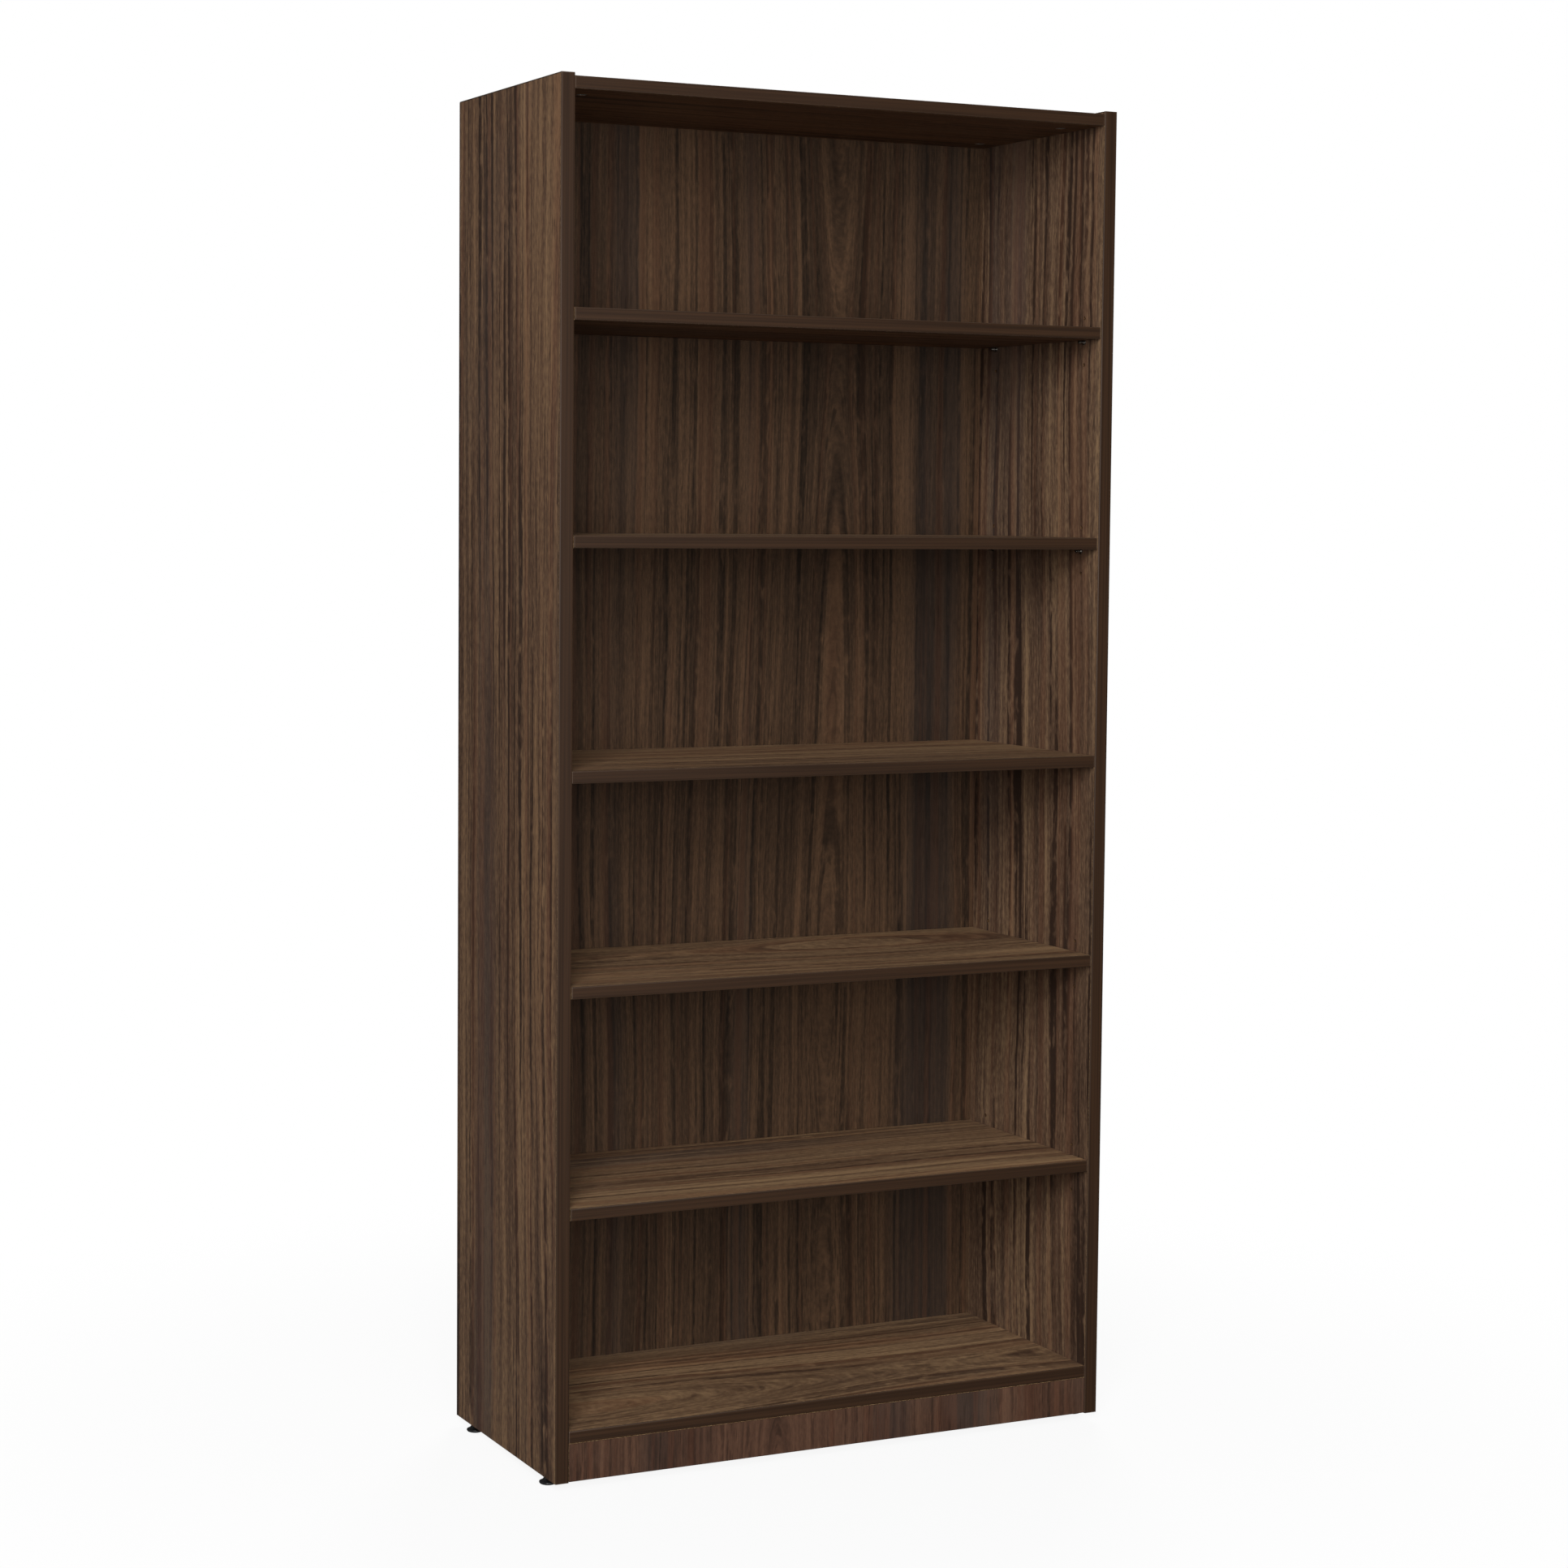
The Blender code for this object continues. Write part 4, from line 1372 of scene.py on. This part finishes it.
@dataclass
class ShelfPins:
    """The steel pins under the loose shelves: a peg, a flange and a flat-topped reach.

    Args:
        effects: the shared node groups.
        peg: the peg's radius.
        flange: the flange's radius.
        thickness: how thick the flange is.
        gap: between the flange and the side panel.
        reach: how far the pin stands out of the panel.
        hole: how deep its hole is.
        flat: from the pin's axis to the flat that carries the shelf.
        steps: points round the pin.
    """

    effects: Effects
    peg: float = 0.0024
    flange: float = 0.004
    thickness: float = 0.001
    gap: float = 0.0003
    reach: float = 0.009
    hole: float = 0.010
    flat: float = 0.0016
    steps: int = 48

    def shape(self) -> np.ndarray:
        """The pin along +Z, its flat towards +X.

        Its profile is turned, and past the flange X is the least of itself and the flat.

        Returns:
            A grid of shape (profile points, steps, 3).
        """
        profile = soften(np.array((
            (self.peg * 0.55, self.gap / 2 - self.hole), (self.peg, 0.0006 - self.hole),
            (self.peg, self.gap), (self.flange, self.gap), (self.flange, self.gap + self.thickness),
            (self.peg, self.gap + self.thickness), (self.peg, self.reach - 0.0004),
            (self.peg * 0.8, self.reach),
        )), 0.00025)
        grid = turn(profile, self.steps)
        beyond = profile[:, 1] > self.gap + self.thickness + 0.0001
        limit = np.where(beyond, self.flat, 1.0)[:, None]
        grid[..., 0] = np.minimum(grid[..., 0], limit)
        return grid

    def make(self) -> None:
        """Makes the sixteen pins."""
        material = Metal("pin_steel", tone=srgb(132, 128, 122), dull=srgb(96, 92, 86)).make(self.effects)
        shape = self.shape()
        for number in LOOSE_SHELVES:
            for side in SIDES:
                for end in ENDS:
                    corner = f"{number}_{end}_{side}"
                    low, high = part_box(f"shelf_pin_{corner}")
                    panel_low, panel_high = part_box(f"side_panel_{side}")
                    inner = panel_high.x if side == "left" else panel_low.x
                    inward = Vector((-side_sign(side), 0, 0))
                    up = Vector((0, 0, 1))
                    turned = Matrix((up, inward.cross(up), inward)).transposed().to_4x4()
                    place = Matrix.Translation((inner, (low.y + high.y) / 2, (low.z + high.z) / 2)) @ turned
                    made = surface(f"pin_{corner}", shape, material, place)
                    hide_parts(f"shelf_pin_{corner}")
                    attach(made, ROOT)
        log.info("shelf pins: %d", len(LOOSE_SHELVES) * len(SIDES) * len(ENDS))


@dataclass
class CamFixings:
    """The cam fixings in the undersides of the fixed boards.

    Args:
        effects: the shared node groups.
    """

    effects: Effects

    def make(self) -> None:
        """Dresses the cams as cast zinc and their bolts as plated steel."""
        material = CamMetal("cam_metal", roughness=0.42, relief=0.00004).make(self.effects)
        for board in LEVEL_BOARDS:
            for end in ENDS:
                for side in SIDES:
                    dress(f"cam_fixing_{board}_{end}_{side}", material)
        log.info("cam fixings: %d", len(LEVEL_BOARDS) * len(ENDS) * len(SIDES))


@dataclass
class Dowels:
    """Fluted beech dowels across the joints between the sides and the fixed boards.

    Args:
        effects: the shared node groups.
        radius: a dowel's radius.
        in_side: how deep it goes into the side panel.
        in_board: how deep it goes into the board.
        rows: how far behind the front the level boards' dowels lie.
        kick_spread: how far above and below its middle the kick plate's dowels lie.
        chamfer: how long the narrowing at each end is.
        flutes: how many flutes run round it.
        flute_depth: how deep they are.
    """

    effects: Effects
    radius: float = 0.0039
    in_side: float = 0.0107
    in_board: float = 0.019
    rows: tuple[float, float] = (0.092, 0.248)
    kick_spread: float = 0.014
    chamfer: float = 0.0013
    flutes: int = 16
    flute_depth: float = 0.00035

    def shape(self) -> np.ndarray:
        """The dowel along +Z from the side into the board.

        The radius is the profile's less the flute depth times the square of the cosine of half the
        flute angle, and the flutes end where the ends are chamfered.

        Returns:
            A grid of shape (profile points, points round, 3).
        """
        profile = soften(np.array((
            (self.radius * 0.70, -self.in_side), (self.radius, self.chamfer - self.in_side),
            (self.radius, self.in_board - self.chamfer), (self.radius * 0.70, self.in_board),
        )), 0.0004, 4)
        steps = self.flutes * 6
        grid = turn(profile, steps)
        angle = np.linspace(0, tau, steps, endpoint=False)
        dip = self.flute_depth * np.cos(self.flutes * angle / 2) ** 2
        inside = ((profile[:, 1] > 0.001 - self.in_side) & (profile[:, 1] < self.in_board - 0.001))
        grid[..., :2] *= (1 - inside[:, None] * dip / self.radius)[..., None]
        return grid

    def places(self) -> dict[str, Vector]:
        """Finds where each dowel crosses the inner face of the left side.

        Returns:
            The places by name.
        """
        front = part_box("side_band_left")[0].y
        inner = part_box("side_panel_left")[1].x
        places = {}
        for board in LEVEL_BOARDS:
            low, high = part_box(board)
            for end, row in zip(ENDS, self.rows):
                places[f"{board}_{end}"] = Vector((inner, front + row, (low.z + high.z) / 2))
        low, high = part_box("kick_plate")
        middle = (low + high) / 2
        for level, step in (("lower", -self.kick_spread), ("upper", self.kick_spread)):
            places[f"kick_plate_{level}"] = Vector((inner, middle.y, middle.z + step))
        return places

    def make(self) -> None:
        """Makes the sixteen dowels."""
        material = Beech("beech_dowel").make(self.effects)
        shape = self.shape()
        for name, point in self.places().items():
            for side in SIDES:
                origin = Vector((point.x * -side_sign(side), point.y, point.z))
                place = aim(origin, Vector((-side_sign(side), 0, 0)))
                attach(surface(f"dowel_{name}_{side}", shape, material, place), ROOT)
        log.info("dowels: %d", 2 * len(self.places()))


@dataclass
class Thread:
    """A screw thread: a ridge that winds round a core.

    Args:
        core: the radius at the root of the thread.
        crest: the radius at its crest.
        pitch: how far it climbs in one turn.
    """

    core: float
    crest: float
    pitch: float

    def radius(self, angle: np.ndarray, height: np.ndarray, flat: float = 0.2) -> np.ndarray:
        """The radius at an angle and a height.

        The phase is the height over the pitch less the angle over a turn, and the ridge is a
        triangle wave of the phase, cut off flat at its crest and its root.

        Args:
            angle: round the screw, in radians.
            height: along the screw.
            flat: how much of the wave is cut off at each end.

        Returns:
            The radius at each angle and height.
        """
        phase = (height / self.pitch - angle / tau) % 1.0
        wave = np.clip((1 - np.abs(2 * phase - 1)) * (1 + 2 * flat) - flat, 0, 1)
        return self.core + (self.crest - self.core) * wave


@dataclass
class BackScrews:
    """Pan-head screws through the back into the rear edges of the fixed and bottom shelves.

    Args:
        effects: the shared node groups.
        columns: where across the case they are.
        head: the radius of the head.
        dome: how high the head is.
        thread: the thread on the shank.
        length: how long the shank is.
        recess: how deep the cross is.
        steps: points round the screw.
    """

    effects: Effects
    columns: tuple[float, ...] = (-0.32, -0.11, 0.11, 0.32)
    head: float = 0.0036
    dome: float = 0.0021
    thread: Thread = field(default_factory=lambda: Thread(0.00112, 0.0017, 0.0013))
    length: float = 0.0148
    recess: float = 0.0013
    steps: int = 72

    def shape(self) -> np.ndarray:
        """The screw along -Z under a head whose underside is at 0.

        The shank narrows to its tip and carries the thread. The head is an arc whose middle sinks
        by the recess wherever the lesser of X and Y is within half the width of a cross arm, and
        the greater is within its reach, both with sloping walls.

        Returns:
            A grid of shape (rows, steps, 3).
        """
        angle = np.linspace(0, tau, self.steps, endpoint=False)[None, :]
        height = np.linspace(-self.length, -0.0004, 120)[:, None]
        taper = np.clip((height + self.length) / 0.004, 0.12, 1.0)
        radius = self.thread.radius(angle, height) * taper
        shank = np.stack((radius * np.cos(angle), radius * np.sin(angle),
                          np.broadcast_to(height, radius.shape)), axis=-1)
        under = turn(np.array(((0.0018, -0.0002), (0.0019, 0.0), (self.head - 0.0003, 0.0),
                               (self.head, 0.0003), (self.head, 0.0006))), self.steps)
        share = np.cos(np.linspace(0.15, pi / 2, 36))[:, None]
        spread = self.head * share
        top = 0.0006 + (self.dome - 0.0006) * np.sqrt(1 - share**2 * 0.98)
        x, y = spread * np.cos(angle), spread * np.sin(angle)
        arm = np.minimum(np.abs(x), np.abs(y))
        reach = np.maximum(np.abs(x), np.abs(y))
        sunk = np.clip((0.00042 - arm) / 0.00012, 0, 1) * np.clip((0.0020 - reach) / 0.0005, 0, 1)
        dome = np.stack((x, y, top - self.recess * sunk), axis=-1)
        return np.concatenate((shank, under, dome))

    def make(self) -> None:
        """Makes the eight screws, their heads on the rear face of the back."""
        material = Metal("screw_zinc", tone=srgb(204, 200, 186), dull=srgb(160, 156, 142)).make(self.effects)
        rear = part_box("back_panel")[1].y
        shape = self.shape()
        for board in ("fixed_shelf", "bottom_shelf"):
            low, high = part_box(board)
            for number, column in enumerate(self.columns, start=1):
                place = aim(Vector((column, rear + 0.0001, (low.z + high.z) / 2)), Vector((0, 1, 0)))
                made = surface(f"back_screw_{board}_{number}", shape, material, place, sharp=30.0)
                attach(made, ROOT)
        log.info("back screws: %d", 2 * len(self.columns))


@dataclass
class ScrewGlides:
    """The glides: a bell-shaped pad, the threaded stem that turns in it, and its insert nut.

    Args:
        effects: the shared node groups.
        rim: the pad's widest radius.
        foot: the radius of its flat foot.
        neck: the radius of its neck.
        height: how high the pad is.
        stem: the stem's thread.
        stem_foot: how high the stem's lower end lies.
        stem_top: how high its tip lies.
        collar: the heights between which its hexagonal collar lies.
        collar_flats: from the stem's axis to a flat of the collar.
        nut_radius: the nut's radius over its barbs.
        nut_flange: the radius of its flange.
        nut_length: how long the nut is.
        steps: points round each piece.
    """

    effects: Effects
    rim: float = 0.0119
    foot: float = 0.0085
    neck: float = 0.0058
    height: float = 0.0089
    stem: Thread = field(default_factory=lambda: Thread(0.00245, 0.00298, 0.001))
    stem_foot: float = 0.0031
    stem_top: float = 0.036
    collar: tuple[float, float] = (0.0093, 0.0115)
    collar_flats: float = 0.0048
    nut_radius: float = 0.0051
    nut_flange: float = 0.0069
    nut_length: float = 0.0138
    steps: int = 96

    def pad_shape(self) -> np.ndarray:
        """The pad's profile turned: flat foot, rounded rim, hollow bell, neck, and the socket within.

        Returns:
            A grid of shape (profile points, steps, 3).
        """
        return turn(soften(np.array((
            (0.0004, 0.0002), (self.foot - 0.0012, 0.0002), (self.foot - 0.0008, 0.0), (self.foot, 0.0),
            (self.rim - 0.0010, 0.0009), (self.rim, 0.0023), (self.rim - 0.0001, 0.0037),
            (self.rim - 0.0022, 0.0047), (self.neck + 0.0019, 0.0059), (self.neck + 0.0005, 0.0075),
            (self.neck, self.height), (0.00345, self.height), (0.00335, 0.0034), (0.0004, 0.0029),
        )), 0.0005, 6), self.steps)

    def stem_shape(self) -> np.ndarray:
        """The stem: a plain foot, a hexagonal collar with its corners eased, then the thread.

        The hexagon's radius is its half width over the cosine of the angle from the nearest flat's
        middle. The thread starts above the collar and is cut down to a cone at the tip.

        Returns:
            A grid of shape (rows, steps, 3).
        """
        angle = np.linspace(0, tau, self.steps, endpoint=False)[None, :]
        flat_angle = (angle % (pi / 3)) - pi / 6
        hexagon = self.collar_flats / np.cos(flat_angle)
        low, high = self.collar
        rows = ((self.stem_foot, 0.0022, 0), (self.stem_foot + 0.0004, 0.0028, 0), (low - 0.0001, 0.0028, 0),
                (low, 0.0032, 0), (low, 0.0047, 1), (low + 0.0003, 0.0060, 1), (high - 0.0003, 0.0060, 1),
                (high, 0.0047, 1), (high, 0.0032, 0), (high + 0.0002, 0.0026, 0))
        plain = np.array([[row[0], row[1]] for row in rows])
        radius = np.minimum(plain[:, 1:], hexagon)
        height = np.broadcast_to(plain[:, :1], radius.shape)
        rise = np.linspace(high + 0.0003, self.stem_top - 0.0001, 200)[:, None]
        wound = self.stem.radius(angle, rise)
        tip = np.clip((self.stem_top - rise) / 0.0009, 0.0, 1.0)
        wound = np.minimum(wound, 0.0021 + 0.0009 * tip)
        radius = np.concatenate((radius, wound))
        height = np.concatenate((height, np.broadcast_to(rise, wound.shape)))
        return np.stack((radius * np.cos(angle), radius * np.sin(angle), height), axis=-1)

    def nut_shape(self) -> np.ndarray:
        """The insert nut's profile turned: a flange, a barbed outside and a plain bore.

        Returns:
            A grid of shape (profile points, steps, 3), whose last row joins its first.
        """
        barbs = []
        for start in np.linspace(0.0018, self.nut_length - 0.0028, 5):
            barbs += [(self.nut_radius, start), (self.nut_radius - 0.0006, start + 0.0021)]
        bore = self.stem.crest + 0.00035
        outline = np.array([
            (bore, 0.0004), (self.nut_flange - 0.0003, 0.0004), (self.nut_flange, 0.0007),
            (self.nut_flange, 0.0011), (self.nut_radius, 0.0012), *barbs,
            (self.nut_radius - 0.0007, self.nut_length), (bore, self.nut_length), (bore, 0.0005),
        ])
        return turn(outline, self.steps)

    def make(self) -> None:
        """Makes the four glides under the sides."""
        black = Plastic("glide_plastic").make(self.effects)
        steel = Metal("glide_steel", tone=srgb(198, 200, 202), relief=0.00003).make(self.effects)
        plated = Metal("nut_steel", tone=srgb(206, 194, 160), dull=srgb(150, 140, 112)).make(self.effects)
        for side in SIDES:
            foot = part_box(f"side_panel_{side}")[0].z
            for end in ENDS:
                corner = f"{end}_{side}"
                low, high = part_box(f"glide_pad_{corner}")
                place = Matrix.Translation(((low.x + high.x) / 2, (low.y + high.y) / 2, low.z))
                pad = surface(f"pad_{corner}", self.pad_shape(), black, place)
                stem = surface(f"stem_{corner}", self.stem_shape(), steel, place)
                lifted = place @ Matrix.Translation((0, 0, foot - low.z))
                nut = surface(f"nut_{corner}", self.nut_shape(), plated, lifted, capped=False)
                for made, node, slot, body in (
                    (pad, "glide_pad", "black_plastic", f"glide_pad_{corner}"),
                    (stem, "glide_stem", "zinc_plated_steel", f"glide_stem_{corner}"),
                    (nut, "glide_nut", "zinc_plated_steel", ROOT),
                ):
                    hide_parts(f"{node}_{corner}")
                    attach(made, body)
        log.info("screw glides: %d", len(SIDES) * len(ENDS))


# ---------------------------------------------------------------- studio


@dataclass
class Studio:
    """A pale floor, a white surround and large soft lights.

    Args:
        floor_size: half the floor's width.
        surround: the light that comes from all round, as a share of white.
        box_size: the side of each softbox.
        distance: from the middle of the case to each softbox.
        aim_height: how high that middle is.
        floor_tone: how pale the floor is.
        floor_glow: the share of plain white in it, under the case and far from it.
        floor_fade: how far from the case's middle that share starts and stops growing.
        floor_bounce: how much of the light the floor gives back to the case.
        softboxes: each one's name, azimuth, rise and power.
    """

    floor_size: float = 14.0
    surround: float = 0.10
    box_size: float = 2.2
    distance: float = 6.0
    aim_height: float = 0.55
    floor_tone: float = 0.86
    floor_glow: tuple[float, float] = (0.90, 1.0)
    floor_fade: tuple[float, float] = (0.5, 1.6)
    floor_bounce: float = 0.16
    softboxes: tuple[tuple[str, float, float, float], ...] = (
        ("key", 30, 31, 216),
        ("left_fill", 28, 15, 165),
        ("low_fill", 6, 6, 168),
        ("far_left", 100, 20, 18),
        ("rear", -148, 22, 190),
    )

    def make_floor(self) -> None:
        """A level floor, pale, that a camera below it looks through."""
        reach = self.floor_size
        corners = [(-reach, -reach, 0), (reach, -reach, 0), (reach, reach, 0), (-reach, reach, 0)]
        mesh = bpy.data.meshes.new("floor")
        mesh.from_pydata(corners, [], [(0, 1, 2, 3)])
        floor = bpy.data.objects.new("floor", mesh)
        bpy.context.scene.collection.objects.link(floor)
        made = bpy.data.materials.new("pale_floor")
        made.use_nodes = True
        b = Bench(made.node_tree)
        shader = made.node_tree.nodes["Principled BSDF"]
        shader.inputs["Base Color"].default_value = (*[self.floor_tone] * 3, 1.0)
        shader.inputs["Roughness"].default_value = 0.9
        glow = b.node("Emission")
        glow.inputs["Strength"].default_value = 1.0
        x, y, _ = b.split(b.node("TexCoord").outputs["Object"])
        distance = b.math("SQRT", b.math("ADD", b.math("POWER", x, 2.0), b.math("POWER", y, 2.0)))
        lit = b.node("MixShader")
        b.feed(lit.inputs[0], b.between(b.step(distance, *self.floor_fade), *self.floor_glow))
        b.feed(lit.inputs[1], shader.outputs[0])
        b.feed(lit.inputs[2], glow.outputs[0])
        dim = b.node("BsdfDiffuse")
        dim.inputs["Color"].default_value = (*[self.floor_bounce] * 3, 1.0)
        seen = b.node("MixShader")
        b.feed(seen.inputs[0], b.node("LightPath").outputs["Is Camera Ray"])
        b.feed(seen.inputs[1], dim.outputs[0])
        b.feed(seen.inputs[2], lit.outputs[0])
        clear = b.node("BsdfTransparent")
        through = b.node("MixShader")
        b.feed(through.inputs[0], b.node("NewGeometry").outputs["Backfacing"])
        b.feed(through.inputs[1], seen.outputs[0])
        b.feed(through.inputs[2], clear.outputs[0])
        b.feed(made.node_tree.nodes["Material Output"].inputs["Surface"], through.outputs[0])
        mesh.materials.append(made)

    def make_surround(self) -> None:
        """White to look at, and a weak even light from all round."""
        world = bpy.data.worlds.new("surround")
        world.use_nodes = True
        bpy.context.scene.world = world
        b = Bench(world.node_tree)
        plain = world.node_tree.nodes["Background"]
        plain.inputs["Strength"].default_value = self.surround
        white = b.node("Background")
        white.inputs["Color"].default_value = (1, 1, 1, 1)
        white.inputs["Strength"].default_value = 1.0
        plain.inputs["Color"].default_value = (1, 1, 1, 1)
        seen = b.node("MixShader")
        b.feed(seen.inputs[0], b.node("LightPath").outputs["Is Camera Ray"])
        b.feed(seen.inputs[1], plain.outputs[0])
        b.feed(seen.inputs[2], white.outputs[0])
        b.feed(world.node_tree.nodes["World Output"].inputs["Surface"], seen.outputs[0])

    def softbox(self, name: str, azimuth: float, rise: float, power: float) -> None:
        """Hangs a square softbox that faces the case, out of the camera's sight.

        Its middle lies along (-sin azimuth cos rise, -cos azimuth cos rise, sin rise) from the
        middle of the case.

        Args:
            name: its name.
            azimuth: degrees from straight in front, towards the left.
            rise: degrees above the level of the case's middle.
            power: its power, in watts.
        """
        turned, raised = radians(azimuth), radians(rise)
        level = Vector((-np.sin(turned), -np.cos(turned), 0))
        toward = level * np.cos(raised) + Vector((0, 0, np.sin(raised)))
        lamp = bpy.data.lights.new(name, "AREA")
        lamp.shape = "SQUARE"
        lamp.size = self.box_size
        lamp.energy = power
        made = bpy.data.objects.new(name, lamp)
        bpy.context.scene.collection.objects.link(made)
        made.matrix_world = aim(Vector((0, 0, self.aim_height)) + toward * self.distance, toward)
        made.visible_camera = False

    def make(self) -> None:
        """Makes the floor, the surround and the lights."""
        self.make_floor()
        self.make_surround()
        for softbox in self.softboxes:
            self.softbox(*softbox)
        log.info("studio: floor, surround and lights")


@dataclass
class Viewpoint:
    """The main camera.

    Args:
        place: where it stands.
        lens: its focal length, in millimetres.
        yaw: how far it is turned from straight ahead, to the left, in radians.
        pitch: how far it looks up, in radians.
        roll: how far it is turned about its line of sight, in radians.
        shift: how far its frame is shifted up, as a share of the frame.
    """

    place: Triple = (-1.9682, -3.9527, 1.2637)
    lens: float = 74.40
    yaw: float = -0.4619
    pitch: float = -0.0705
    roll: float = 0.0093
    shift: float = -0.03

    def make(self) -> None:
        """Makes the scene's camera.

        It looks along (-sin yaw cos pitch, cos yaw cos pitch, sin pitch), and roll turns it about
        that line.
        """
        level = np.array((np.cos(self.yaw), np.sin(self.yaw), 0.0))
        forward = np.array((-np.sin(self.yaw) * np.cos(self.pitch),
                            np.cos(self.yaw) * np.cos(self.pitch), np.sin(self.pitch)))
        upward = np.cross(level, forward)
        right = level * np.cos(self.roll) + upward * np.sin(self.roll)
        up = -level * np.sin(self.roll) + upward * np.cos(self.roll)
        lens = bpy.data.cameras.new("camera")
        lens.lens = self.lens
        lens.sensor_width = 36.0
        lens.shift_y = self.shift
        lens.dof.use_dof = False
        lens.clip_start, lens.clip_end = 0.1, 100.0
        made = bpy.data.objects.new("camera", lens)
        bpy.context.scene.collection.objects.link(made)
        turned = Matrix([[*axes] for axes in zip(right, up, -forward)]).to_4x4()
        made.matrix_world = Matrix.Translation(self.place) @ turned
        bpy.context.scene.camera = made
        log.info("camera: at %s", self.place)


def main() -> None:
    """Builds the looks of the bookcase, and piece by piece."""
    logging.basicConfig(level=logging.INFO, format="%(name)s: %(message)s")
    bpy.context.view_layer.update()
    bpy.context.scene.view_settings.view_transform = "Standard"
    effects = Effects()
    Viewpoint().make()
    Studio().make()
    Carcass(effects).make()
    Back(effects).make()
    LooseShelves(effects).make()
    Bands(effects).make()
    ShelfPins(effects).make()
    CamFixings(effects).make()
    Dowels(effects).make()
    BackScrews(effects).make()
    ScrewGlides(effects).make()


if __name__ == "__main__":
    main()
